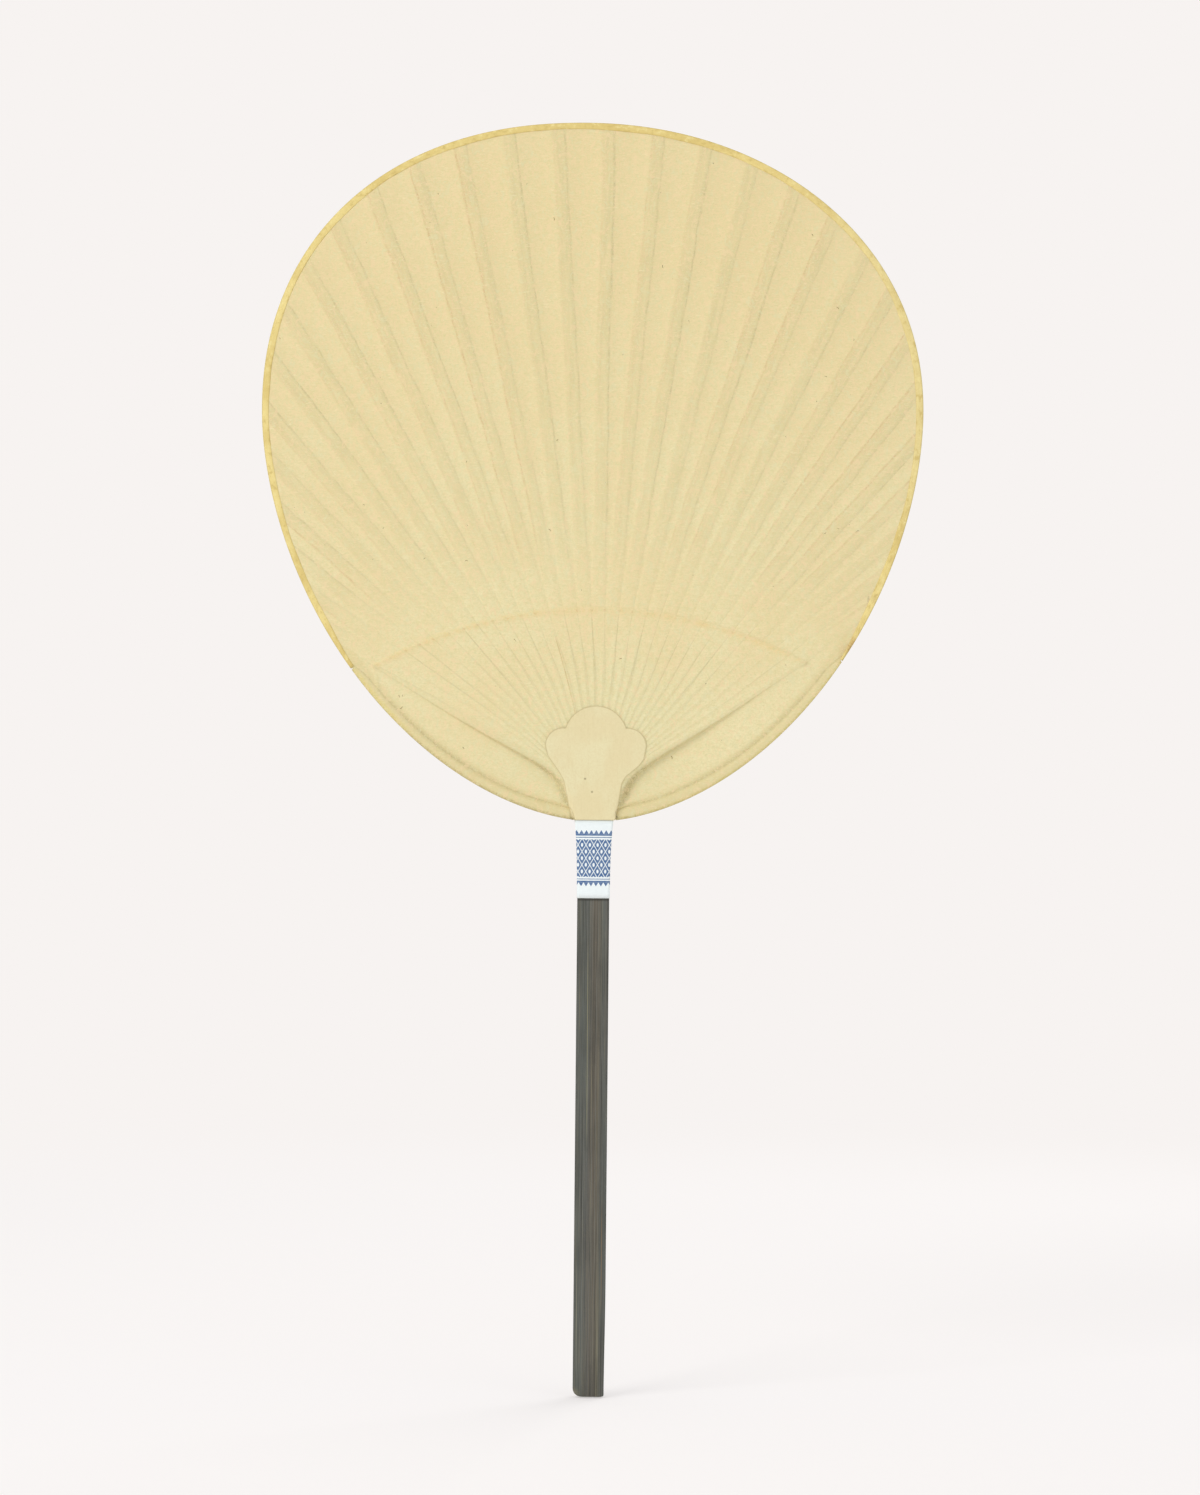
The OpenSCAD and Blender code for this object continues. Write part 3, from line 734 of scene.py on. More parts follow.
    def widen(self, row: list[Spot]) -> None:
        """Give each spot of a row past the thread the gap, and its share of it, that the ribs have there."""
        count, slots = self.plan.rib_count, self.slots
        starts = range(0, slots * count, slots)
        middles = [mix2(row[n + 1].inner[::2], row[n + 4].inner[::2], 0.5) for n in starts]
        gaps = [math.dist(a, b) for a, b in zip(middles, middles[1:])]
        for n, spot in enumerate(row):
            i, slot = divmod(n, slots)
            if slot == slots - 1:
                spot.gap = gaps[i]
                continue
            off = (spot.rib - i) * spot.gap
            spot.gap = gaps[max(i - 1, 0)] if off < 0 else gaps[min(i, count - 2)]
            spot.rib = i + off / spot.gap

    def side_row(self, side: Side, p: float, last: Spot) -> list[Spot]:
        """Return the row from the outermost rib's last spot out to the bow's edge."""
        rib = self.plan.rib_count - 0.5 if side is Side.RIGHT else -0.5
        gap = self.fan.gap(0, clamp(p, 0.0, PAST))
        return [Spot(a, b, rib, last.past, gap, 1.0, stain)
                for (a, b), stain in zip(self.side_spots(side, p), self.stains(p))]

    def marked(self, q: Point3, spot: Spot, p: float, peak: float) -> Marked:
        """Return a point, a little uneven, with the values that the finish reads."""
        lift = 0.5 + 0.5 * wave(q[0] / 17, q[2] / 23, 3.0 + self.face.value)
        lift *= self.unevenness * (1.0 if spot.zone < 1 and p > 1 else 0.3)
        y = q[1] + math.copysign(lift, q[1]) if abs(q[1]) > 1e-6 else q[1]
        flat = (q[0], q[2])
        return (q[0], y, q[2]), {
            "rib": spot.rib, "past": spot.past, "zone": spot.zone, "gap": spot.gap, "stain": spot.stain,
            "ridge": spot.rib - peak / spot.gap, "inset": MEAN_R * (1 - self.plan.level(flat, 0.0) ** 0.5),
            "arc": RIM_PER_DEGREE * self.plan.rim_angle(flat)}

    def build(self, material: bpy.types.Material, name: str) -> bpy.types.Object:
        """Build the paper as a closed sheet and return it."""
        sheet = Sheet(flip=self.face is Face.BACK)
        for p in self.stations():
            row = self.rib_row(p)
            row = (self.side_row(Side.LEFT, p, row[0])[::-1] + row + self.side_row(Side.RIGHT, p, row[-1]))
            if p <= 0:
                peak = sum(self.band(self.fan.last // 2, max(p, 0.0))) / 2
            else:
                peak = -self.face.value * self.fan.peak_x(min(p, PAST))
            sheet.row((self.marked(s.inner, s, p, peak), self.marked(s.outer, s, p, peak)) for s in row)
        return sheet.close(name, material)


@dataclass
class Surface:
    """A finished sheet that other pieces are laid on, felt with rays along Y."""

    tree: BVHTree
    face: Face
    start_y: float = 0.02
    ray_length: float = 0.03

    @classmethod
    def over(cls, piece: bpy.types.Object, face: Face) -> Surface:
        """Return the surface of a piece on one face of the blade."""
        mesh = piece.data
        points = [tuple(v.co) for v in mesh.vertices]
        return cls(BVHTree.FromPolygons(points, [tuple(p.vertices) for p in mesh.polygons]), face)

    def height(self, spot: Point2) -> Optional[float]:
        """Return the height of the surface over the middle plane, or None beside it."""
        start = Vector((spot[0] * MM, self.face.value * self.start_y, spot[1] * MM))
        hit = self.tree.ray_cast(start, Vector((0, -self.face.value, 0)), self.ray_length)[0]
        return None if hit is None else abs(hit.y) / MM


@dataclass
class RimBinding:
    """The yellow paper strip folded over the upper rim, laid over the ends of the ribs."""

    plan: FanPlan
    front: Surface
    back: Surface
    steps: int = 560
    fold_steps: int = 7
    fold_r: float = 0.3
    end_gap: float = 0.2
    lip_shares: tuple[float, ...] = (1.0, 0.86, 0.5, 0.24)
    least_inset: float = 0.6
    least_y: float = 0.45
    face_seeds: Point2 = (1.5, 8.5)
    wander: float = 0.38
    clearance: float = 0.03

    def depth(self, a: float, turn: float, seed: float) -> float:
        """Return the width of the strip on one face at a share of the way round."""
        plan = self.plan
        from_end = min(a, 1 - a) * turn
        wide = mix(plan.strip_w * 0.55, plan.strip_w, smooth(from_end / plan.strip_taper))
        return 0.9 * wide + self.wander * (wave(a * 19, seed, 0.4) + 0.5 * wave(a * 60, seed, 7.4))

    def lip(self, surface: Surface, angle: float, depth: float) -> list[Point2]:
        """Return inset and height of the strip's points on one face, from its edge to the rim."""
        spots: list[Point2] = []
        last = self.least_y
        for share in self.lip_shares:
            inset = share * depth
            found = surface.height(self.plan.outline(angle, max(inset, self.least_inset)))
            last = found if found is not None else last
            spots.append((inset, last + self.clearance * (0.3 if inset == depth else 1.0)))
        return spots

    def section(self, angle: float, front: list[Point2],
                back: list[Point2]) -> Iterable[tuple[Marked, Marked]]:
        """Yield the strip's inner and outer points across the rim, from the front edge to the back one."""
        t = self.plan.strip_t
        thin = [0.3 * t, t, t, t]
        spots = [((d, -y), (d, -y - k)) for (d, y), k in zip(front, thin)]
        for k in range(self.fold_steps):
            turn = math.pi * (k + 0.5) / self.fold_steps
            c, inset = math.cos(turn), 1 - math.sin(turn)
            high = front[-1][1] if c > 0 else back[-1][1]
            bend = self.fold_r * inset
            spots.append(((t + bend, -high * c), (bend + t * inset, -(high + t) * c)))
        spots += [((d, y), (d, y + k)) for (d, y), k in zip(reversed(back), reversed(thin))]
        for pair in spots:
            places = [(self.plan.outline(angle, d), d, y) for d, y in pair]
            inner, outer = (((q[0], y, q[1]), {"inset": d, "arc": RIM_PER_DEGREE * angle}) for q, d, y in places)
            yield inner, outer

    def build(self, material: bpy.types.Material, name: str) -> bpy.types.Object:
        """Build the strip as one closed folded sheet and return it."""
        begin = self.plan.tip_angle(Side.RIGHT) + self.end_gap
        end = 180 + self.plan.bow_reach - self.end_gap
        sheet = Sheet()
        for n in range(self.steps + 1):
            a = n / self.steps
            angle = mix(begin, end, a)
            lips = [self.lip(surface, angle, self.depth(a, end - begin, seed))
                    for surface, seed in zip((self.front, self.back), self.face_seeds)]
            sheet.row(self.section(angle, *lips))
        return sheet.close(name, material)


@dataclass
class NeckPatch:
    """The three-lobed paper pasted over the neck, following the ridges under it."""

    plan: FanPlan
    surface: Surface
    shift: float = 0.4
    clearance: float = 0.03
    feel: float = 0.6
    step_up: float = 0.8
    bridging: float = 0.85
    across: int = 64
    row_steps: int = 110
    left_edge: tuple[Point2, ...] = (
        (221.0, 8.4), (222.5, 8.7), (227.0, 9.9), (231.4, 10.7), (236.8, 11.9), (239.9, 13.7), (242.2, 15.4),
        (244.3, 17.0), (246.6, 18.6), (250.4, 19.5))
    right_edge: tuple[Point2, ...] = (
        (221.0, 7.9), (225.0, 8.8), (229.5, 9.6), (236.0, 10.6), (238.8, 12.2), (240.8, 14.6), (242.9, 17.0),
        (245.4, 18.7), (250.4, 19.5))

    def half_width(self, z: float, side: Side) -> float:
        """Return the patch's width to one side of the middle at a height."""
        plan = self.plan
        side_z = plan.lobe_z - plan.side_lobe_drop
        wide = 0.0
        if abs(z - plan.lobe_z) < plan.top_lobe_r:
            wide = math.sqrt(plan.top_lobe_r ** 2 - (z - plan.lobe_z) ** 2)
        if abs(z - side_z) < plan.side_lobe_r:
            wide = max(wide, plan.side_lobe_gap / 2 + math.sqrt(plan.side_lobe_r ** 2 - (z - side_z) ** 2))
        edge = self.left_edge if side is Side.LEFT else self.right_edge
        for (z0, x0), (z1, x1) in zip(edge, edge[1:]):
            if z0 <= z < z1 and z < side_z:
                wide = mix(x0, x1, (z - z0) / (z1 - z0))
        return wide

    def from_edge(self, spot: Point2, beside: float) -> float:
        """Return the distance of a point from the patch's edge."""
        plan = self.plan
        side_z = plan.lobe_z - plan.side_lobe_drop
        if spot[1] < side_z:
            return beside
        lobes = [(0.0, plan.lobe_z, plan.top_lobe_r)]
        lobes += [(side.value * plan.side_lobe_gap / 2, side_z, plan.side_lobe_r) for side in Side]
        return max(0.0, max(r - math.dist(spot, (x, z)) for x, z, r in lobes))

    def lie(self, spot: Point2) -> float:
        """Return the height at which the patch lies, bridging the hollows between the ridges."""
        found = [self.surface.height((spot[0] + self.feel * n, spot[1])) for n in range(-3, 4)]
        known = [v for v in found if v is not None] or [self.plan.handle_t / 2 + self.plan.paper_t]
        here = found[3] if found[3] is not None else known[0]
        near_edge = max(known) - min(known) > self.step_up
        return (here if near_edge else mix(here, max(known), self.bridging)) + self.clearance

    def heights(self) -> list[float]:
        """Return the heights of the rows, closer together where the outline runs level."""
        plan = self.plan
        top = plan.foot_z + plan.patch_h
        level = plan.lobe_z - plan.side_lobe_drop + plan.side_lobe_r
        steps = self.row_steps
        rows = [plan.foot_z + 0.02 + n * (plan.patch_h - 0.1) / steps for n in range(steps + 1)]
        rows += [level - 0.02 - 0.1 * n for n in range(9)] + [level + 0.03]
        rows += [top - 0.01 - 0.004 * n * n for n in range(10)]
        return sorted({round(z, 3) for z in rows})

    def build(self, material: bpy.types.Material, name: str) -> bpy.types.Object:
        """Build the patch as a closed sheet and return it."""
        plan, sign = self.plan, self.surface.face.value
        sheet = Sheet(flip=self.surface.face is Face.BACK)
        for z in self.heights():
            ease = smooth((z - plan.foot_z - 12) / 14)
            row: list[tuple[Marked, Marked]] = []
            for n in range(self.across + 1):
                f = math.sin((2 * n / self.across - 1) * math.pi / 2)
                half = self.half_width(z, Side.LEFT if f < 0 else Side.RIGHT)
                x, rim = half * f + self.shift * ease, self.from_edge((half * f, z), half * (1 - abs(f)))
                y = self.lie((x, z))
                inner, outer = (((x, sign * (y + thick), z), {"rim": rim}) for thick in (0.0, plan.patch_t))
                row.append((inner, outer))
            sheet.row(row)
        return sheet.close(name, material)


@dataclass
class Handle:
    """The bamboo slat below the ribs, with softened edges, a worn butt corner and the bow's hole."""

    plan: FanPlan
    corner_steps: int = 6
    bevel: float = 0.32
    bevel_depth: float = 0.3
    root_edge_r: float = 0.55
    shave: float = 0.35
    shave_z: float = 42
    drill_sides: int = 48
    drill_length: float = 0.03

    def ring(self, z: float, grow: float = 0.0, inset: float = 0.0) -> list[Point2]:
        """Return the slat's section at a height.

        Args:
            z: height over the butt.
            grow: distance outwards from the surface.
            inset: distance inwards, for the bevel round the butt.

        Returns:
            X and Y of the points, counter-clockwise from above.
        """
        plan = self.plan
        half, deep = plan.slat_half(z) + grow - inset, plan.handle_t / 2 + grow - inset
        r = mix(plan.edge_r, self.root_edge_r, smooth((z - plan.label_z) / 20)) + grow
        shave = self.shave * smooth((self.shave_z - z) / self.shave_z) if grow == 0 else 0.0
        cut = {-1: round_out(plan.worn_corner_r, z), 1: round_out(plan.butt_corner_r, z) + shave}
        points: list[Point2] = []
        for cx, cy, start in ((1, 1, 0), (-1, 1, 90), (-1, -1, 180), (1, -1, 270)):
            for n in range(self.corner_steps + 1):
                a = math.radians(start + 90 * n / self.corner_steps)
                x, y = half - cut[cx] - r, deep - r
                points.append((cx * x + r * math.cos(a), cy * y + r * math.sin(a)))
        return points

    def build(self, material: bpy.types.Material, name: str) -> bpy.types.Object:
        """Build the slat as a closed solid with the bow's hole through it and return it."""
        plan, shape = self.plan, Shape()
        rows: list[list[int]] = []
        heights = [0.0, 0.05, 0.16, 0.32, 0.5, 0.8, 1.2, 1.7, 2.3, 3.2, 4.5]
        heights += [mix(6, plan.label_z, n / 30) for n in range(31)]
        heights += [mix(plan.label_z, plan.root_z, n / 16) for n in range(1, 17)]
        for z in heights:
            up = 1 - min(z, self.bevel) / self.bevel
            inset = self.bevel_depth * (1 - math.sqrt(max(0.0, 1 - up ** 2)))
            rows.append([shape.add((x, y, z)) for x, y in self.ring(z, inset=inset)])
        shape.skin(rows, closed=True)
        for row, height, below in ((rows[0], 0.0, True), (rows[-1], plan.root_z, False)):
            hub = shape.add((0.0, 0.0, height))
            for a, b in zip(row, row[1:] + row[:1]):
                shape.faces.append((hub, b, a) if below else (hub, a, b))
        slat = shape.to_object(name, material)
        bpy.ops.mesh.primitive_cylinder_add(
            vertices=self.drill_sides, radius=(plan.bow_w / 2 + plan.bow_play) * MM, depth=self.drill_length,
            location=(0, 0, plan.hole_z * MM), rotation=(0, math.pi / 2, 0))
        drill = bpy.context.object
        cut = slat.modifiers.new("bow hole", "BOOLEAN")
        cut.operation, cut.solver, cut.object = "DIFFERENCE", "EXACT", drill
        bake(slat)
        bpy.data.objects.remove(drill, do_unlink=True)
        return slat


@dataclass
class LabelBand:
    """The paper label wrapped round the top of the handle, lapped behind."""

    plan: FanPlan
    handle: Handle
    lap: float = 4.0
    rows: int = 14
    play: float = 0.01

    def path(self, z: float) -> list[tuple[Point2, Point2]]:
        """Return the inner and outer points round the slat, from behind, once round and over the lap."""
        t, deep, half = self.plan.label_t, self.plan.handle_t / 2 + self.play, self.handle.corner_steps + 1
        rings = [self.handle.ring(z, grow=self.play + thick) for thick in (0.0, t)]
        inner, outer = (ring[half:] + ring[:half] for ring in rings)
        seam = -self.lap / 2
        path = [((seam, deep), (seam, deep + t))] + list(zip(inner, outer))
        for f in (1.0, 0.75, 0.5, 0.2, 0.0):
            x, low = seam + self.lap * f, deep + self.play + t * smooth(1.4 - f * 1.6)
            path.append(((x, low), (x, low + t)))
        return path

    def build(self, material: bpy.types.Material, name: str) -> bpy.types.Object:
        """Build the label as one wrapped sheet and return it."""
        sheet = Sheet()
        for n in range(self.rows + 1):
            z = mix(self.plan.label_z, self.plan.label_z + self.plan.label_h, n / self.rows)
            sheet.row((((a[0], a[1], z), {}), ((b[0], b[1], z), {})) for a, b in self.path(z))
        return sheet.close(name, material)


class Term:
    """A value inside a node tree. The plain operators on it make Math nodes."""

    def __init__(self, wiring: Wiring, socket: bpy.types.NodeSocket) -> None:
        """Keep the socket that gives the value, and the wiring of its tree."""
        self.wiring, self.socket = wiring, socket

    def __add__(self, other: Value) -> Term:
        """Return the sum."""
        return self.wiring.math("ADD", self, other)

    def __radd__(self, other: Value) -> Term:
        """Return the sum, with a plain value first."""
        return self.wiring.math("ADD", other, self)

    def __sub__(self, other: Value) -> Term:
        """Return the difference."""
        return self.wiring.math("SUBTRACT", self, other)

    def __rsub__(self, other: Value) -> Term:
        """Return the difference, with a plain value first."""
        return self.wiring.math("SUBTRACT", other, self)

    def __mul__(self, other: Value) -> Term:
        """Return the product."""
        return self.wiring.math("MULTIPLY", self, other)

    def __truediv__(self, other: Value) -> Term:
        """Return the quotient."""
        return self.wiring.math("DIVIDE", self, other)

    def __pow__(self, other: Value) -> Term:
        """Return the power."""
        return self.wiring.math("POWER", self, other)

    def __abs__(self) -> Term:
        """Return the value without its sign."""
        return self.wiring.math("ABSOLUTE", self)


class Wiring:
    """Short calls for building a node tree, in a material or in Geometry Nodes."""

    def __init__(self, tree: bpy.types.NodeTree) -> None:
        """Keep the tree to build in."""
        self.tree = tree

    def node(self, kind: str, inputs: Optional[Inputs] = None, **settings: object) -> bpy.types.Node:
        """Add a node with its settings and inputs and return it."""
        made = self.tree.nodes.new(kind)
        for name, value in settings.items():
            setattr(made, name, value)
        for key, source in (inputs or {}).items():
            self.join(source, made.inputs[key])
        return made

    def term(self, kind: str, inputs: Optional[Inputs] = None, out: Union[int, str] = 0,
             **settings: object) -> Term:
        """Add a node and return one of its outputs as a term."""
        return Term(self, self.node(kind, inputs, **settings).outputs[out])

    def join(self, source: Value, socket: bpy.types.NodeSocket) -> None:
        """Link a term or a socket, or set a plain value, into an input."""
        if isinstance(source, Term):
            source = source.socket
        if isinstance(source, bpy.types.NodeSocket):
            self.tree.links.new(source, socket)
        else:
            socket.default_value = source

    def math(self, operation: str, a: Value, b: Value = 0.0) -> Term:
        """Return the result of a Math node."""
        return self.term("ShaderNodeMath", {0: a, 1: b}, operation=operation)

    def vector(self, operation: str, a: Value, b: Value = (0.0, 0.0, 0.0),
               scale: Optional[Value] = None) -> Term:
        """Return the result of a Vector Math node."""
        other = {1: b} if scale is None else {"Scale": scale}
        out = "Value" if operation == "LENGTH" else "Vector"
        return self.term("ShaderNodeVectorMath", {0: a, **other}, out, operation=operation)

    def step(self, value: Value, low: float, high: float, to_low: float = 0.0, to_high: float = 1.0) -> Term:
        """Return a smooth step of a value between two limits."""
        if low > high:
            low, high, to_low, to_high = high, low, to_high, to_low
        return self.term("ShaderNodeMapRange", interpolation_type="SMOOTHSTEP", inputs={
            "Value": value, "From Min": low, "From Max": high, "To Min": to_low, "To Max": to_high})

    def combine(self, x: Value, y: Value, z: Value) -> Term:
        """Return a vector of three values."""
        return self.term("ShaderNodeCombineXYZ", {0: x, 1: y, 2: z})

    def split(self, place: Value) -> list[Term]:
        """Return the three values of a vector."""
        made = self.node("ShaderNodeSeparateXYZ", {0: place})
        return [Term(self, socket) for socket in made.outputs]

    def noise(self, place: Union[Term, tuple], detail: float = 2.0, rough: float = 0.5,
              warp: float = 0.0) -> Term:
        """Return smooth noise from about 0 to 1 at a place, given as a vector or as three values."""
        spot = self.combine(*place) if isinstance(place, tuple) else place
        return self.term("ShaderNodeTexNoise", {
            "Vector": spot, "Scale": 1.0, "Detail": detail, "Roughness": rough, "Distortion": warp})

    def random(self, value: Value) -> Term:
        """Return a steady random number from 0 to 1 for a value."""
        return self.term("ShaderNodeTexWhiteNoise", {"W": value}, "Value", noise_dimensions="1D")

    def attribute(self, name: str) -> Term:
        """Return the piece's own per-point value of a name."""
        return self.term("ShaderNodeAttribute", out="Fac", attribute_name=name)

    def blend(self, factor: Value, a: Value, b: Value) -> Term:
        """Return two colours mixed."""
        return self.term("ShaderNodeMix", {0: factor, 6: a, 7: b}, 2, data_type="RGBA", blend_type="MIX")


Value = Union[Term, bpy.types.NodeSocket, float, Sequence[float]]
Inputs = dict[Union[int, str], object]


@dataclass
class Growth:
    """A Geometry Nodes tree with named inputs, run on a piece and baked into plain mesh."""

    name: str
    sizes: dict[str, float]
    counts: dict[str, int] = field(default_factory=dict)

    def __post_init__(self) -> None:
        """Make the tree with its inputs and output."""
        self.tree = bpy.data.node_groups.new(self.name, "GeometryNodeTree")
        kinds = {"Geometry": "Geometry", **dict.fromkeys(self.sizes, "Float"),
                 **dict.fromkeys(self.counts, "Int")}
        for name, kind in kinds.items():
            self.tree.interface.new_socket(name, in_out="INPUT", socket_type=f"NodeSocket{kind}")
        self.tree.interface.new_socket("Geometry", in_out="OUTPUT", socket_type="NodeSocketGeometry")
        self.wiring = Wiring(self.tree)
        self.given = self.wiring.node("NodeGroupInput").outputs

    def size(self, name: str) -> Term:
        """Return a named input as a term."""
        return Term(self.wiring, self.given[name])

    def end(self, geometry: Value, material: bpy.types.Material) -> None:
        """Give the geometry its finish and hand it out."""
        w = self.wiring
        whole = w.term("GeometryNodeRealizeInstances", {0: geometry})
        dressed = w.term("GeometryNodeSetMaterial", {"Geometry": whole, "Material": material})
        w.join(dressed, w.node("NodeGroupOutput").inputs[0])

    def run(self, piece: bpy.types.Object) -> bpy.types.Object:
        """Run the tree on a piece with its inputs set, and return it as plain mesh."""
        change = piece.modifiers.new(self.name.lower(), "NODES")
        change.node_group = self.tree
        values = {**self.sizes, **self.counts}
        for item in self.tree.interface.items_tree:
            if item.in_out == "INPUT" and item.name in values:
                change[item.identifier] = values[item.name]
        bake(piece)
        return piece


@dataclass
class SplitRibs:
    """The ribs that the slat is split into, bent and twisted by a Geometry Nodes tree."""

    plan: FanPlan
    fan: RibFan
    rings: int = 44
    tip_gap: float = 0.3
    knots: tuple[str, ...] = ("knot_a", "knot_b", "knot_c", "knot_d", "knot_e")

    def seeds(self, name: str) -> bpy.types.Object:
        """Return one point for each rib, carrying the control points of its curve."""
        plan, fan = self.plan, self.fan
        mesh = bpy.data.meshes.new("rib seeds")
        mesh.from_pydata([(0.0, 0.0, 0.0)] * plan.rib_count, [], [])
        hulls: list[list[Point2]] = []
        for i in range(plan.rib_count):
            hull, u, half = fan.hull(i), fan.ray(i), plan.rib_w / 2
            x, z = hull[-1]
            edges = [(x + s * half * u[1], z - s * half * u[0]) for s in (-1, 1)]
            free = min(math.dist(q, plan.to_rim(q, u, plan.rim_inset + self.tip_gap)) for q in edges)
            hulls.append(hull + [(x + free * u[0], z + free * u[1])])
        for n, knot in enumerate(self.knots):
            numbers = [v * MM for hull in hulls for v in (hull[n][0], 0.0, hull[n][1])]
            mesh.attributes.new(knot, "FLOAT_VECTOR", "POINT").data.foreach_set("vector", numbers)
        return placed(name, mesh)

    def growth(self, material: bpy.types.Material) -> Growth:
        """Return the tree that bends a straight bar into each rib."""
        plan = self.plan
        grown = Growth("Split ribs", {"Root width": plan.rib_root_w * MM, "Blade width": plan.rib_w * MM,
                                      "Thickness": plan.rib_t * MM, "Twist": math.pi / 2})
        w = grown.wiring
        bar = w.term("GeometryNodeMeshCube", {"Size": (2.0, 2.0, 1.0), "Vertices Z": self.rings})
        kept = w.term("GeometryNodeStoreNamedAttribute", {
            "Geometry": bar, "Name": "bar_spot", "Value": w.term("GeometryNodeInputPosition")},
            data_type="FLOAT_VECTOR", domain="POINT")
        many = w.term("GeometryNodeInstanceOnPoints", {"Points": grown.given["Geometry"], "Instance": kept})
        real = w.term("GeometryNodeRealizeInstances", {0: many})

        def named(name: str) -> Term:
            """Return a stored vector."""
            return w.term("GeometryNodeInputNamedAttribute", {"Name": name}, data_type="FLOAT_VECTOR")

        def total(vectors: Sequence[Term], shares: Sequence[Term]) -> Term:
            """Return the sum of vectors, each scaled by its share."""
            scaled = [w.vector("SCALE", v, scale=share) for v, share in zip(vectors, shares)]
            whole = scaled[0]
            for part in scaled[1:]:
                whole = w.vector("ADD", whole, part)
            return whole

        x, y, z = w.split(named("bar_spot"))
        along = (z + 0.5) * 2.0
        q, rest = w.math("MINIMUM", along, 1.0), w.math("MAXIMUM", along - 1.0, 0.0)
        back = 1.0 - q
        qq, bb = q * q, back * back
        knots = [named(knot) for knot in self.knots]
        legs = [w.vector("SUBTRACT", b, a) for a, b in zip(knots, knots[1:])]
        middle = total([*knots[:4], legs[3]], [bb * back, bb * q * 3.0, qq * back * 3.0, qq * q, rest])
        run = total(legs[:3], [bb, q * back * 2.0, qq])
        right = w.vector("NORMALIZE", w.vector("CROSS_PRODUCT", (0.0, 1.0, 0.0), run))
        turn = w.step(q ** 1.8, 0.0, 1.0) * grown.size("Twist")
        sine, cosine = w.math("SINE", turn), w.math("COSINE", turn)
        root = grown.size("Root width")
        wide = root + q * (grown.size("Blade width") - root)
        cx, cy = x * (wide * 0.5), y * (grown.size("Thickness") * 0.5)
        off = w.vector("ADD", w.vector("SCALE", right, scale=cx * sine + cy * cosine),
                       w.combine(0.0, cy * sine - cx * cosine, 0.0))
        bent = w.term("GeometryNodeSetPosition", {"Geometry": real, "Position": w.vector("ADD", middle, off)})
        grown.end(bent, material)
        return grown

    def build(self, material: bpy.types.Material, name: str) -> bpy.types.Object:
        """Build the ribs as plain mesh and return them."""
        return self.growth(material).run(self.seeds(name))


@dataclass
class BastFibres:
    """Short dark bits of bark fibre in the paper's surface, scattered with a fixed seed."""

    face: Face
    seed: int
    density: float = 2300.0
    longest: float = 1.25 * MM
    shortest: float = 0.3 * MM
    thickest: float = 0.00022
    size_seed: int = 5

    def growth(self, material: bpy.types.Material) -> Growth:
        """Return the tree that strews bent fibres over one side of a sheet."""
        grown = Growth("Bast fibres", {"Density": self.density, "Longest": self.longest,
                                       "Shortest": self.shortest}, {"Seed": self.seed})
        w = grown.wiring
        aspect = w.split(w.term("GeometryNodeInputNormal"))[1]
        outside = w.math("GREATER_THAN", aspect * float(self.face.value), 0.6)
        strewn = w.node("GeometryNodeDistributePointsOnFaces", {
            "Mesh": grown.given["Geometry"], "Selection": outside, "Density": grown.given["Density"],
            "Seed": grown.given["Seed"]}).outputs
        bend = w.term("GeometryNodeCurveQuadraticBezier", {
            "Resolution": 4, "Start": (-0.5, 0.0, 0.0), "Middle": (0.05, 0.34, 0.0), "End": (0.5, 0.02, 0.0)})
        wire = w.term("GeometryNodeCurvePrimitiveCircle", {"Resolution": 4, "Radius": 0.085}, mode="RADIUS")
        fibre = w.term("GeometryNodeCurveToMesh", {"Curve": bend, "Profile Curve": wire, "Fill Caps": True})
        lay = w.term("FunctionNodeRandomValue", {3: 2 * math.pi}, 1, data_type="FLOAT")
        turn = w.term("FunctionNodeAxisAngleToRotation", {"Angle": lay})
        laid = w.term("FunctionNodeRotateRotation", {0: strewn["Rotation"], 1: turn}, rotation_space="LOCAL")
        chance = w.term("FunctionNodeRandomValue", {"Seed": self.size_seed}, 1, data_type="FLOAT")
        shortest = grown.size("Shortest")
        size = shortest + (grown.size("Longest") - shortest) * chance ** 2.6
        many = w.term("GeometryNodeInstanceOnPoints", {
            "Points": strewn["Points"], "Instance": fibre, "Rotation": laid,
            "Scale": w.combine(size, size, w.math("MINIMUM", size * 0.4, self.thickest))})
        grown.end(many, material)
        return grown

    def build(self, paper: bpy.types.Object, material: bpy.types.Material, name: str) -> bpy.types.Object:
        """Strew the fibres over a paper and return them as plain mesh."""
        return self.growth(material).run(placed(name, paper.data.copy()))


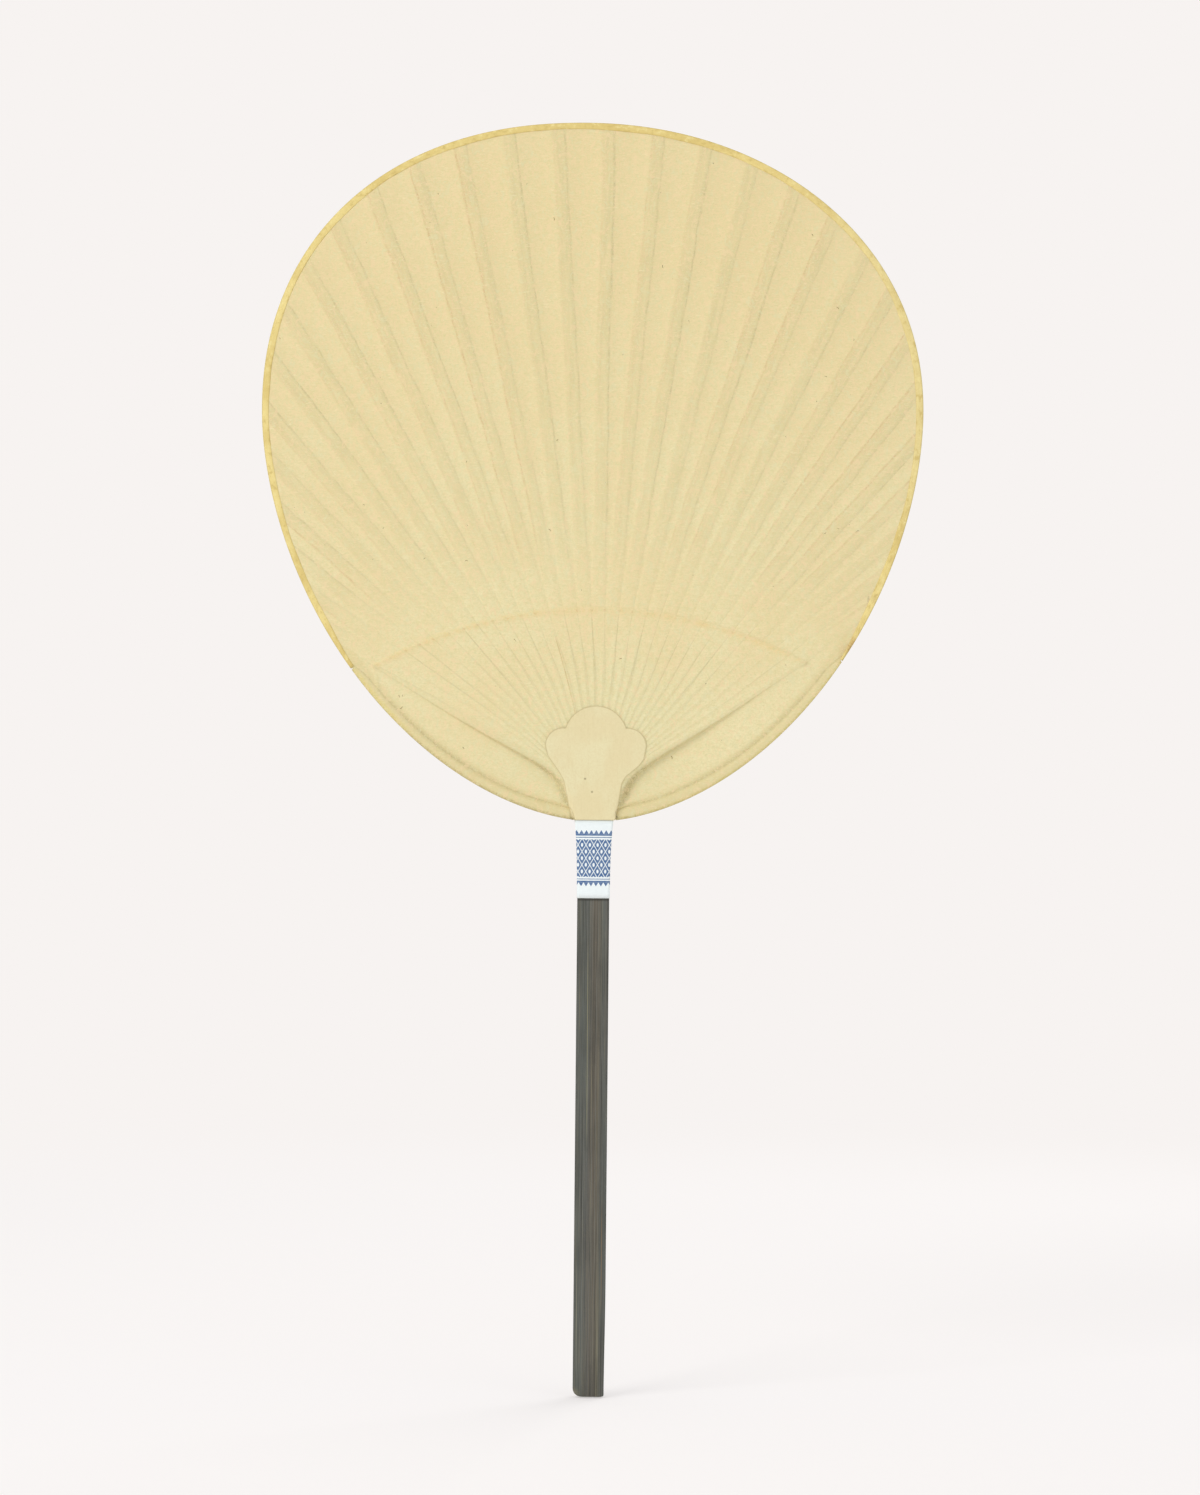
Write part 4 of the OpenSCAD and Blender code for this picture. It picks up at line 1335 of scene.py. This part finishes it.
@dataclass
class Finish:
    """A started material: its wiring, its shader and the place of a point in millimetres."""

    name: str
    roughness: float
    specular: float = 0.3

    def __post_init__(self) -> None:
        """Make the material with one shader."""
        self.material = bpy.data.materials.new(self.name)
        self.material.use_nodes = True
        self.wiring = Wiring(self.material.node_tree)
        self.shader = self.material.node_tree.nodes["Principled BSDF"]
        self.shader.inputs["Roughness"].default_value = self.roughness
        self.shader.inputs["Specular IOR Level"].default_value = self.specular
        here = self.wiring.term("ShaderNodeTexCoord", out="Object")
        self.place = self.wiring.vector("SCALE", here, scale=1 / MM)
        self.x, self.y, self.z = self.wiring.split(self.place)
        self.base: Value = (0.8, 0.8, 0.8, 1.0)

    def stretched(self, scales: Point3) -> Term:
        """Return the place in millimetres, scaled along each axis."""
        return self.wiring.vector("MULTIPLY", self.place, scales)

    def noise(self, scales: Point3, detail: float = 2.0, rough: float = 0.5, warp: float = 0.0) -> Term:
        """Return smooth noise in space, scaled along each axis."""
        return self.wiring.noise(self.stretched(scales), detail, rough, warp)

    def near(self, x: float, z: float, reach: float, wide: float = 1.0, tall: float = 1.0) -> Term:
        """Return a spot that is 1 at a place in the blade's plane and 0 beyond its reach."""
        w = self.wiring
        off = w.combine((self.x - x) * (1 / wide), 0.0, (self.z - z) * (1 / tall))
        return w.step(w.vector("LENGTH", off), reach, 0.2 * reach)

    def coat(self, share: Value, tint: Value) -> None:
        """Lay a tint over the colour so far, as strongly as its share says."""
        self.base = self.wiring.blend(share, self.base, tint)

    def fade(self, value: Value, low: float, high: float, most: float, tint: Value) -> None:
        """Lay a tint over the colour so far, growing to its most as a value goes from low to high."""
        self.coat(self.wiring.step(value, low, high, 0.0, most), tint)

    def finish(self, height: Term, depth: float = 0.05, rough: Optional[Term] = None) -> bpy.types.Material:
        """Connect colour, bump and roughness.

        Args:
            height: bump height from 0 to 1.
            depth: bump depth in millimetres.
            rough: roughness, where it varies.

        Returns:
            The finished material.
        """
        w = self.wiring
        bump = w.term("ShaderNodeBump", {"Distance": depth * MM, "Height": height})
        w.join(self.base, self.shader.inputs["Base Color"])
        w.join(bump, self.shader.inputs["Normal"])
        if rough is not None:
            w.join(rough, self.shader.inputs["Roughness"])
        return self.material


@dataclass(frozen=True)
class FacingWashi:
    """Aged handmade paper: cloudy tone, fine fibre, grey rib bands, their edges and the thread's arc, with
    painted shade in the folds and creases and a painted shadow and highlight along the ridges below the thread.
    """

    name: str
    face: Face
    plain: Colour = colour(234, 222, 176)
    warm: Colour = colour(234, 216, 168)
    grey: Colour = colour(206, 196, 147)
    shade: Colour = colour(178, 164, 118)
    rust: Colour = colour(204, 168, 120)
    fold: Colour = colour(160, 144, 94)
    thread: Colour = colour(234, 206, 147)

    def make(self, plan: FanPlan) -> bpy.types.Material:
        """Return the paper's material."""
        m = Finish(self.name, 0.86, 0.22)
        w = m.wiring
        names = ("rib", "gap", "past", "ridge", "zone", "stain", "inset", "arc")
        rib, gap, past, ridge, zone, stain, inset, arc = (w.attribute(n) for n in names)
        half = rib + 0.5
        number = w.math("FLOOR", half)
        share = w.math("FRACT", half) - 0.5
        luck, other = w.random(number), w.random(number + 41.5)
        drift = w.noise((past * 0.016, number, 2.0), 3.0)
        d = share * gap * -float(self.face.value)
        d = d + (drift - 0.5) * 2.4
        frayed = w.noise((past * 0.11, number, 9.0), 3.0, 0.7)
        d = d + (frayed - 0.5) * 0.9
        on_ribs = 1.0 - zone
        above = w.step(past, 2.0, 40.0) * on_ribs
        rims = w.step(past, 8.0, 150.0, 0.62, 1.0)
        streak = w.noise((past * 0.05, d * 0.5, number), 4.0, 0.62)
        fine = w.noise((past * 0.2, d * 1.4, number), 4.0, 0.6)
        edge = plan.rib_w / 2

        cloud = m.noise((0.028, 0.028, 0.028), 3.0, 0.55)
        blotch = m.noise((0.16, 0.16, 0.1), 4.0, 0.6)
        grain = m.noise((1.1, 1.1, 1.1), 4.0, 0.7, 0.6)
        m.base = w.blend(w.step(cloud, 0.38, 0.62), self.plain, self.warm)
        m.fade(blotch, 0.42, 0.72, 0.35, self.warm)
        m.fade(past, 30.0, 150.0, 0.7, colour(231, 208, 157))
        m.coat(m.near(0.0, 252.0, 46.0, 1.35) * 0.5, colour(223, 220, 178))
        m.coat(m.near(62.0, 246.0, 40.0, 1.3) * 0.7, colour(240, 228, 182))

        band = w.step(d, -edge - 1.1, -edge + 1.0) * w.step(d, edge + 0.35, edge - 0.5)
        band = band * w.step(streak, 0.3, 0.7, 0.2, 1.0)
        tone = band * above * (rims * 0.8)
        lean = w.step(d, 1.3, -1.6, 0.3, 1.0) * w.step(other, 0.0, 0.6, 0.4, 1.0)
        tint = w.blend(w.step(fine, 0.36, 0.6, 0.35, 1.0) * lean, self.grey, colour(219, 190, 143))
        m.coat(tone, tint)

        def line(at: float, wide: float, source: Term = d) -> Term:
            """Return a soft line of a width at a distance from a rib's middle."""
            return w.step(abs(source - at), wide, 0.0)

        broken = w.step(fine, 0.36, 0.64)
        dark = line(edge, 0.72) * (broken * 0.75 + 0.1) * (luck * 0.5 + 0.4)
        m.coat(dark * above * rims, self.shade)
        soft = line(-edge, 0.8) * (broken * 0.75 + 0.25) * (w.step(other, 0.15, 0.9) * 0.8 + 0.15)
        m.coat(soft * above * rims, self.rust)

        top = w.math("FRACT", ridge + 0.5) - 0.5
        side = top * gap * -float(self.face.value)
        below = w.step(past, 4.0, -3.0) * on_ribs
        near = w.step(past, -54.0, -20.0, 0.2, 1.0)
        # Painted shadow line on one flank of each paper ridge over the tilted ribs below the thread.
        louvre_shadow = line(0.35, 0.42, side) * (w.step(fine, 0.3, 0.6, 0.35, 1.0) * near)
        louvre_shadow = louvre_shadow * (luck * luck * 0.62 + 0.08)
        m.coat(louvre_shadow * below, self.shade)
        # Painted highlight along the ridge tops below the thread, beside the painted shadow line.
        pale = line(-0.25, 0.4, side) * (below * 0.3)
        m.coat(pale, colour(238, 226, 184))
        crack = line(-0.1, 0.38, side) * w.math("LESS_THAN", abs(w.math("FLOOR", ridge + 0.5) - 11.0), 0.5)
        crack = crack * (w.step(past, -5.0, -13.0) * w.step(fine, 0.35, 0.6, 0.45, 1.0))
        if self.face is Face.FRONT:
            m.coat(crack * 0.8, colour(190, 152, 98))

        sway = w.noise((rib * 0.9, 1.0, 7.0), 2.0)
        sway = (sway - 0.5) * 1.4
        sewn = w.step(abs(past - sway), 2.2, 0.2)
        dashes = w.noise((rib * 2.1, 3.0, 0.5), 2.0)
        sewn = sewn * on_ribs * w.step(dashes, 0.34, 0.62, 0.15, 0.8)
        m.coat(sewn, self.thread)
        knot = w.step(w.vector("LENGTH", w.combine(abs(d) - (edge + 0.2), 0.0, past)), 0.7, 0.2)
        m.coat(knot * on_ribs * (luck * 0.6), self.rust)

        crimp = w.noise((arc * 0.55, inset * 0.22, 1.0), 3.0, 0.65, 0.3)
        hem = w.step(inset, 5.6, 3.6) * zone
        m.coat(hem * w.step(crimp, 0.42, 0.66, 0.0, 0.3), colour(208, 188, 134))
        m.coat(hem * 0.6, colour(218, 200, 147))
        brim = w.step(inset, 1.2, 0.25) * zone
        worn = w.blend(w.step(m.x, -10.0, 40.0), colour(172, 154, 94), colour(206, 191, 104))
        m.coat(brim * w.step(crimp, 0.3, 0.6, 0.65, 0.9), worn)
        dyed = w.step(inset, 2.0, 1.0) * m.near(-84.0, 268.0, 30.0, 0.9)
        m.coat(dyed * 0.75, colour(226, 207, 124))
        # Painted shade in the folds by the outermost ribs, the creases by the bow and round the hem, mottled
        # like soiling.
        fold_shade_and_soil = stain * w.step(blotch, 0.3, 0.7, 0.7, 1.0)
        m.coat(fold_shade_and_soil, self.fold)
        for x, z, reach, wide, tint in ((96.5, 286.0, 5.2, 0.8, colour(196, 158, 104)),
                                        (104.9, 307.4, 2.3, 0.3, colour(132, 104, 72))):
            brown = m.near(x, z, reach, wide, 1.2) * w.step(grain, 0.35, 0.6, 0.4, 0.85)
            m.coat(brown, tint)
        mottle = m.noise((0.38, 0.38, 0.3), 6.0, 0.85, 0.8)
        m.fade(grain, 0.38, 0.66, 0.7, colour(222, 209, 153))
        felt = m.noise((0.55, 0.8, 2.0), 5.0, 0.8, 1.0)
        m.fade(felt, 0.5, 0.66, 0.6, colour(213, 204, 149))
        m.fade(felt, 0.47, 0.33, 0.6, colour(243, 230, 190))
        m.fade(mottle, 0.49, 0.64, 0.75, colour(237, 213, 168))
        m.fade(mottle, 0.49, 0.34, 0.75, colour(225, 217, 173))
        speck = m.noise((0.75, 0.75, 0.75), 2.0, 0.5)
        m.fade(speck, 0.77, 0.84, 0.28, self.shade)
        fibre = m.noise((2.6, 2.6, 0.8), 3.0, 0.7, 1.2)
        lumps = fibre * 0.35 + grain * 0.45 + crimp * hem
        return m.finish(lumps, 0.075, w.step(grain, 0.3, 0.7, 0.8, 0.92))


@dataclass(frozen=True)
class BindingPaper:
    """Yellow dyed strip with worn, ochre and pale stretches and crimps across it."""

    name: str
    plain: Colour = colour(240, 220, 149)
    deep: Colour = colour(218, 193, 119)
    pale: Colour = colour(225, 209, 154)
    worn: Colour = colour(196, 180, 108)

    def make(self, plan: FanPlan) -> bpy.types.Material:
        """Return the strip's material."""
        m = Finish(self.name, 0.82, 0.25)
        w = m.wiring
        arc, inset = w.attribute("arc"), w.attribute("inset")
        long = w.noise((arc * 0.03, 0.0, 4.0), 3.0, 0.6)
        short = w.noise((arc * 0.32, inset * 0.5, 1.0), 4.0, 0.65)
        crimp = w.noise((arc * 1.1, inset * 0.25, 8.0), 3.0, 0.6)
        grain = m.noise((1.6, 1.6, 1.6), 3.0, 0.7)
        m.base = w.blend(w.step(long, 0.42, 0.66), self.plain, self.deep)
        m.coat(w.step(inset, 0.55, 0.1) * w.step(crimp, 0.3, 0.6, 0.25, 0.7), self.worn)
        m.fade(m.z, 450.0, 486.0, 0.5, self.deep)
        faded = w.step(m.x, 60.0, 118.0) * w.step(m.z, 320.0, 365.0)
        m.coat(faded * 0.5, self.pale)
        m.fade(short, 0.52, 0.68, 0.75, colour(241, 225, 160))
        m.fade(short, 0.49, 0.33, 0.8, colour(208, 184, 112))
        m.fade(crimp, 0.62, 0.74, 0.3, self.worn)
        stains = ((98.4, 290.0, 4.6, colour(176, 132, 82), 0.65),
                  (106.8, 308.0, 2.2, colour(150, 120, 78), 0.3),
                  (-98.0, 295.2, 1.6, colour(104, 84, 58), 0.8),
                  (-85.8, 279.0, 3.2, colour(246, 240, 222), 0.7))
        for x, z, reach, tint, strength in stains:
            spot = m.near(x, z, reach, 0.9, 1.2) * w.step(grain, 0.32, 0.6, 0.35, 1.0)
            m.coat(spot * strength, tint)
        m.fade(grain, 0.3, 0.7, 0.25, self.deep)
        lumps = crimp * 1.2 + grain * 0.3
        return m.finish(lumps, 0.1, w.step(short, 0.3, 0.7, 0.76, 0.9))


@dataclass(frozen=True)
class PatchWashi:
    """The neck patches' paper, smoother and paler than the blade, darker along its pasted rim."""

    name: str
    plain: Colour = colour(233, 223, 181)
    warm: Colour = colour(231, 217, 173)
    rim: Colour = colour(190, 172, 122)

    def make(self, plan: FanPlan) -> bpy.types.Material:
        """Return the patches' material."""
        m = Finish(self.name, 0.84, 0.22)
        w = m.wiring
        rim = w.attribute("rim")
        cloud = m.noise((0.09, 0.09, 0.07), 3.0)
        grain = m.noise((1.3, 1.3, 1.3), 4.0, 0.7, 0.5)
        long = m.noise((1.1, 1.0, 0.14), 4.0, 0.7, 0.5)
        m.base = w.blend(w.step(cloud, 0.4, 0.62), self.plain, self.warm)
        m.fade(long, 0.48, 0.7, 0.55, colour(225, 210, 164))
        m.coat(w.step(rim, 0.55, 0.1) * w.step(grain, 0.25, 0.6, 0.25, 0.75), self.rim)
        m.coat(w.step(m.z - plan.foot_z, 6.0, 0.0, 0.0, 0.3), self.warm)
        for x, z in ((-3.6, 237.6), (-0.9, 232.6)):
            m.coat(m.near(x, z, 0.62) * 0.8, colour(120, 104, 72))
        m.fade(grain, 0.38, 0.68, 0.5, colour(224, 209, 160))
        return m.finish(grain * 0.5 + long * 0.4, 0.06)


@dataclass(frozen=True)
class StainedBamboo:
    """Dark rubbed stain over long bamboo grain, worn paler at the edges, with bare split ribs above."""

    name: str
    stain: Colour = colour(97, 96, 92)
    brown: Colour = colour(106, 96, 83)
    moss: Colour = colour(95, 99, 94)
    light: Colour = colour(124, 118, 98)
    dark: Colour = colour(66, 65, 60)

    def make(self, plan: FanPlan) -> bpy.types.Material:
        """Return the handle's material."""
        m = Finish(self.name, 0.62, 0.16)
        w = m.wiring
        x, z = m.x, m.z
        broad = m.noise((0.42, 0.42, 0.005), 3.0, 0.6)
        streak = m.noise((2.2, 2.2, 0.012), 4.0, 0.65)
        fine = m.noise((7.5, 7.5, 0.05), 4.0, 0.7)
        blot = m.noise((0.16, 0.16, 0.035), 3.0)
        m.base = w.blend(w.step(broad, 0.38, 0.62), self.stain, self.moss)
        m.coat(w.step(abs(x - 1.2), 3.4, 0.6) * w.step(broad, 0.3, 0.7, 0.35, 0.8), self.brown)
        m.coat(w.step(x, -1.5, -5.5) * 0.6, self.moss)
        low = w.step(z, 70.0, 10.0)
        tail = w.step(abs(x - 2.9), 1.1, 0.25) * low
        m.coat(tail * w.step(streak, 0.3, 0.65, 0.3, 0.85), self.light)
        m.fade(streak, 0.55, 0.68, 0.75, self.light)
        m.fade(streak, 0.45, 0.33, 0.8, self.dark)
        m.fade(fine, 0.48, 0.66, 0.75, self.dark)
        m.fade(fine, 0.46, 0.32, 0.6, self.light)
        silver = m.noise((3.4, 3.4, 0.007), 2.0, 0.5)
        m.fade(silver, 0.56, 0.66, 0.6, colour(126, 128, 120))
        m.fade(blot, 0.45, 0.7, 0.35, self.dark)
        hairs = ((-1.4, 90.0, 182.0, colour(146, 140, 110)), (-4.9, 4.0, 60.0, colour(134, 130, 112)),
                 (-3.8, 2.0, 34.0, colour(126, 124, 108)), (4.6, 26.0, 80.0, colour(132, 108, 80)))
        for at, low_z, high_z, tint in hairs:
            wander = at + z * -0.0026
            hair = w.step(abs(x - wander), 0.2, 0.05)
            hair = hair * (w.step(z, low_z, low_z + 25) * w.step(z, high_z, high_z - 20))
            m.coat(hair * 0.75, tint)
        rim = w.step(abs(x), 5.6, 6.1) * w.step(fine, 0.35, 0.6, 0.2, 0.75)
        m.coat(rim * w.step(z, 205.0, 190.0), self.dark)
        worn = m.near(-6.0, 1.2, 3.4) * w.step(fine, 0.3, 0.6, 0.2, 0.8)
        m.coat(worn, self.light)
        under = w.step(abs(z - (plan.label_z - 0.4)), 0.9, 0.2)
        m.coat(under * 0.7, colour(58, 56, 52))
        cut = w.step(z, 0.16, 0.02)
        pores = w.term("ShaderNodeTexVoronoi", {"Vector": m.stretched((1.9, 1.9, 0.2))}, "Distance")
        end = w.blend(w.step(pores, 0.12, 0.34), self.dark, colour(118, 110, 88))
        m.coat(cut, end)
        bare = w.blend(w.step(streak, 0.35, 0.65), colour(222, 196, 140), colour(203, 174, 116))
        m.coat(w.step(z, plan.foot_z - 2, plan.foot_z + 3), bare)
        lumps = streak * 0.7 + fine * 0.5
        return m.finish(lumps, 0.09, w.step(streak, 0.3, 0.7, 0.55, 0.7))


@dataclass(frozen=True)
class BareBamboo:
    """Pale shaved bamboo, as on the bow and the split ribs."""

    name: str
    pale: Colour = colour(226, 203, 148)
    dark: Colour = colour(196, 166, 108)

    def make(self, plan: FanPlan) -> bpy.types.Material:
        """Return the bare bamboo's material."""
        m = Finish(self.name, 0.58, 0.3)
        w = m.wiring
        streak = m.noise((1.7, 3.0, 0.35), 4.0, 0.65)
        fine = m.noise((6.0, 6.0, 1.4), 3.0, 0.7)
        m.base = w.blend(w.step(streak, 0.35, 0.65), self.pale, self.dark)
        m.fade(fine, 0.5, 0.8, 0.4, self.dark)
        return m.finish(streak + fine * 0.5, 0.05)


@dataclass(frozen=True)
class CottonThread:
    """Unbleached twisted thread."""

    name: str

    def make(self, plan: FanPlan) -> bpy.types.Material:
        """Return the thread's material."""
        m = Finish(self.name, 0.9, 0.15)
        w = m.wiring
        ply = w.math("SINE", (m.x + m.y * 1.4) * 9.0)
        fuzz = m.noise((6.0, 6.0, 6.0), 3.0, 0.7)
        m.base = w.blend(w.step(ply, -0.6, 0.8), colour(196, 160, 104), colour(226, 196, 140))
        m.fade(fuzz, 0.5, 0.8, 0.5, colour(180, 146, 94))
        return m.finish(ply + fuzz, 0.05)


@dataclass(frozen=True)
class FibreBark:
    """Dark brown bits of bark in the paper."""

    name: str

    def make(self, plan: FanPlan) -> bpy.types.Material:
        """Return the fibres' material."""
        m = Finish(self.name, 0.85, 0.2)
        w = m.wiring
        tone = m.noise((0.21, 0.21, 0.21), 2.0)
        m.base = w.blend(w.step(tone, 0.35, 0.65), colour(104, 82, 54), colour(150, 124, 84))
        return m.finish(m.noise((8.0, 8.0, 8.0)), 0.02)


@dataclass(frozen=True)
class PrintedLabel:
    """Cool white label paper printed in blue: rules and a diamond lattice, with no words on it."""

    name: str
    paper: Colour = colour(240, 247, 247)
    ink: Colour = colour(68, 104, 152)
    middle: float = 15.4
    lattice: float = 3.0

    def make(self, plan: FanPlan) -> bpy.types.Material:
        """Return the label's material."""
        m = Finish(self.name, 0.7, 0.3)
        w = m.wiring
        x = m.x
        up = m.z - plan.label_z - self.middle
        level = abs(up)
        mottle = m.noise((1.1, 1.1, 1.1), 3.0, 0.6)
        grain = m.noise((4.0, 4.0, 4.0), 3.0, 0.7)

        def stripe(at: float, wide: float) -> Term:
            """Return a printed rule at a distance from the middle."""
            return w.step(abs(level - at), wide / 2 + 0.07, wide / 2 - 0.07)

        across, rise = x / self.lattice, up / (1.7 * self.lattice)
        cells = [abs(w.math("FRACT", w.math(op, across, rise) + 0.5) - 0.5) for op in ("ADD", "SUBTRACT")]
        lines = w.step(w.math("MINIMUM", *cells), 0.03, 0.075)
        seeds = w.step(w.vector("LENGTH", w.combine(cells[0] - 0.5, 0.0, cells[1] - 0.5)), 0.17, 0.24)
        panel = w.math("MINIMUM", lines, seeds) * w.step(level, 7.3, 7.15)
        tooth = abs(w.math("FRACT", x / 1.9) - 0.5)
        fringe = w.step(level, 9.3, 9.4) * w.step(level + tooth * 3.2, 10.9, 10.75)
        ink = panel
        for mark in (stripe(8.0, 0.3), stripe(9.0, 0.7), fringe):
            ink = w.math("MAXIMUM", ink, mark)
        ink = ink * w.step(grain, 0.2, 0.45, 0.8, 1.0)
        m.base = w.blend(w.step(mottle, 0.35, 0.65, 0.0, 0.5), self.paper, colour(235, 242, 243))
        m.coat(ink * w.step(mottle, 0.3, 0.7, 0.88, 1.0), self.ink)
        edges = w.step(abs(up - (15.0 - self.middle)), 14.4, 15.0, 0.0, 0.35)
        m.coat(edges, colour(206, 210, 204))
        return m.finish(grain + mottle * 0.6, 0.02)


@dataclass
class Studio:
    """The plain floor, the pale surround, the soft lamps and the camera."""

    centre: Point2 = (2.03, 249.7)
    roll: float = 0.55
    frame_height: float = 575.6
    lens: float = 100.0
    lens_play: float = 0.0006
    sensor: float = 36.0
    floor_half: float = 30.0
    floor_gap: float = 0.0005
    aim: Point3 = (0.0, 0.0, 0.3)
    sky: Colour = (0.98, 1.0, 1.015, 1.0)
    sky_strength: float = 0.61
    pale: Colour = colour(247, 243, 241)

    def floor(self) -> None:
        """Lay the floor under the butt."""
        mesh = bpy.data.meshes.new("Floor")
        wide, low = self.floor_half, -self.floor_gap
        mesh.from_pydata([(-wide, -wide, low), (wide, -wide, low), (wide, wide, low), (-wide, wide, low)],
                         [], [(0, 1, 2, 3)])
        m = Finish("Pale floor", 0.95, 0.0)
        w = m.wiring
        far = w.step(w.vector("LENGTH", w.term("ShaderNodeTexCoord", out="Object")), 0.25, 1.2)
        glow = w.term("ShaderNodeEmission", {0: w.blend(far, colour(250, 246, 245), self.pale)})
        seen = w.term("ShaderNodeLightPath", out="Is Camera Ray")
        share = w.math("MAXIMUM", far, 0.5) * seen
        m.shader.inputs["Base Color"].default_value = colour(255, 251, 249)
        both = w.term("ShaderNodeMixShader", {0: share, 1: m.shader.outputs[0], 2: glow})
        w.join(both, m.material.node_tree.nodes["Material Output"].inputs["Surface"])
        mesh.materials.append(m.material)
        placed("Floor", mesh)

    def surround(self) -> None:
        """Light the world evenly, and show it pale to the camera."""
        world = bpy.data.worlds.new("Surround")
        bpy.context.scene.world = world
        world.use_nodes = True
        w = Wiring(world.node_tree)
        back = world.node_tree.nodes["Background"]
        back.inputs["Color"].default_value = self.sky
        back.inputs["Strength"].default_value = self.sky_strength
        seen = w.term("ShaderNodeBackground", {"Color": self.pale})
        camera = w.term("ShaderNodeLightPath", out="Is Camera Ray")
        both = w.term("ShaderNodeMixShader", {0: camera, 1: back.outputs[0], 2: seen})
        w.join(both, world.node_tree.nodes["World Output"].inputs["Surface"])

    def lamp(self, name: str, place: Point3, size: float, power: float) -> None:
        """Add a square lamp aimed at the middle of the fan."""
        data = bpy.data.lights.new(name, "AREA")
        data.size, data.energy = size, power
        lamp = placed(name, data)
        lamp.location = place
        aim = Vector(self.aim) - lamp.location
        lamp.rotation_euler = aim.to_track_quat("-Z", "Y").to_euler()

    def camera(self) -> None:
        """Set the camera square to the blade, as far off as the photo's frame needs."""
        data = bpy.data.cameras.new("Camera")
        data.lens, data.sensor_width = self.lens, self.sensor
        data.clip_start, data.clip_end = 0.05, 100.0
        camera = placed("Camera", data)
        away = self.frame_height / 2 * self.lens / (self.sensor / 2) * MM
        turn = math.radians(self.roll)
        axes = Matrix(((math.cos(turn), 0.0, math.sin(turn)), (-math.sin(turn), 0.0, math.cos(turn)),
                       (0.0, -1.0, 0.0)))
        place = (self.centre[0] * MM, -away - self.lens_play, self.centre[1] * MM)
        camera.matrix_world = Matrix.Translation(place) @ axes.transposed().to_4x4()
        bpy.context.scene.camera = camera

    def set_up(self) -> None:
        """Make floor, surround, lamps and camera."""
        bpy.context.scene.view_settings.view_transform = "Standard"
        self.floor()
        self.surround()
        self.lamp("Key", (-1.5, -1.5, 1.5), 1.2, 21.6)
        self.lamp("Fill", (1.7, -1.9, 0.7), 1.6, 7.0)
        self.lamp("Rear", (1.2, 1.9, 1.4), 1.5, 21.0)
        self.camera()


def main() -> None:
    """Build the fan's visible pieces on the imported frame, in the order in which a maker adds them."""
    logging.basicConfig(level=logging.INFO, format="%(name)s: %(message)s")
    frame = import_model()
    plan = FanPlan()
    fan = RibFan(plan)
    studio = Studio()
    studio.set_up()

    washi = {face: FacingWashi(f"Washi {face.name.lower()}", face).make(plan) for face in Face}
    bamboo = StainedBamboo("Stained bamboo").make(plan)
    bare = BareBamboo("Bare bamboo").make(plan)
    bark = FibreBark("Bark fibre").make(plan)
    patch = PatchWashi("Patch washi").make(plan)

    def add(piece: bpy.types.Object, slot: str, *nodes: str) -> bpy.types.Object:
        """Attach a finished piece to its body, hide the nodes it stands for and log its face count."""
        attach(piece, "root")
        if nodes:
            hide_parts(*nodes)
        LOG.info("%s: %d faces", piece.name, len(piece.data.polygons))
        return piece

    handle = Handle(plan)
    add(handle.build(bamboo, "Handle_slat"), "stained_bamboo", "handle_with_ribs")
    add(SplitRibs(plan, fan).build(bare, "Split_ribs"), "stained_bamboo", "handle_with_ribs")
    papers: dict[Face, bpy.types.Object] = {}
    surfaces: dict[Face, Surface] = {}
    for face in Face:
        word = face.name.lower()
        papers[face] = add(FacingPaper(plan, fan, face).build(washi[face], f"Paper_{word}"),
                           f"{word}_washi", f"{word}_paper")
        surfaces[face] = Surface.over(papers[face], face)
        add(BastFibres(face, 11 if face is Face.FRONT else 29).build(papers[face], bark, f"Fibres_{word}"),
            f"{word}_washi")
        add(NeckPatch(plan, surfaces[face]).build(patch, f"Neck_patch_{word}"),
            "patch_washi", f"{word}_neck_patch")
    add(RimBinding(plan, surfaces[Face.FRONT], surfaces[Face.BACK]).build(
        BindingPaper("Yellow strip").make(plan), "Rim_binding"), "yellow_strip", "edge_strip")
    add(LabelBand(plan, handle).build(PrintedLabel("Printed label").make(plan), "Label_wrap"),
        "label_paper", "label_band")
    for node, finish in (("bow", bare), ("rib_thread", CottonThread("Cotton thread").make(plan))):
        frame["nodes"][node].data.materials.clear()
        frame["nodes"][node].data.materials.append(finish)


if __name__ == "__main__":
    main()
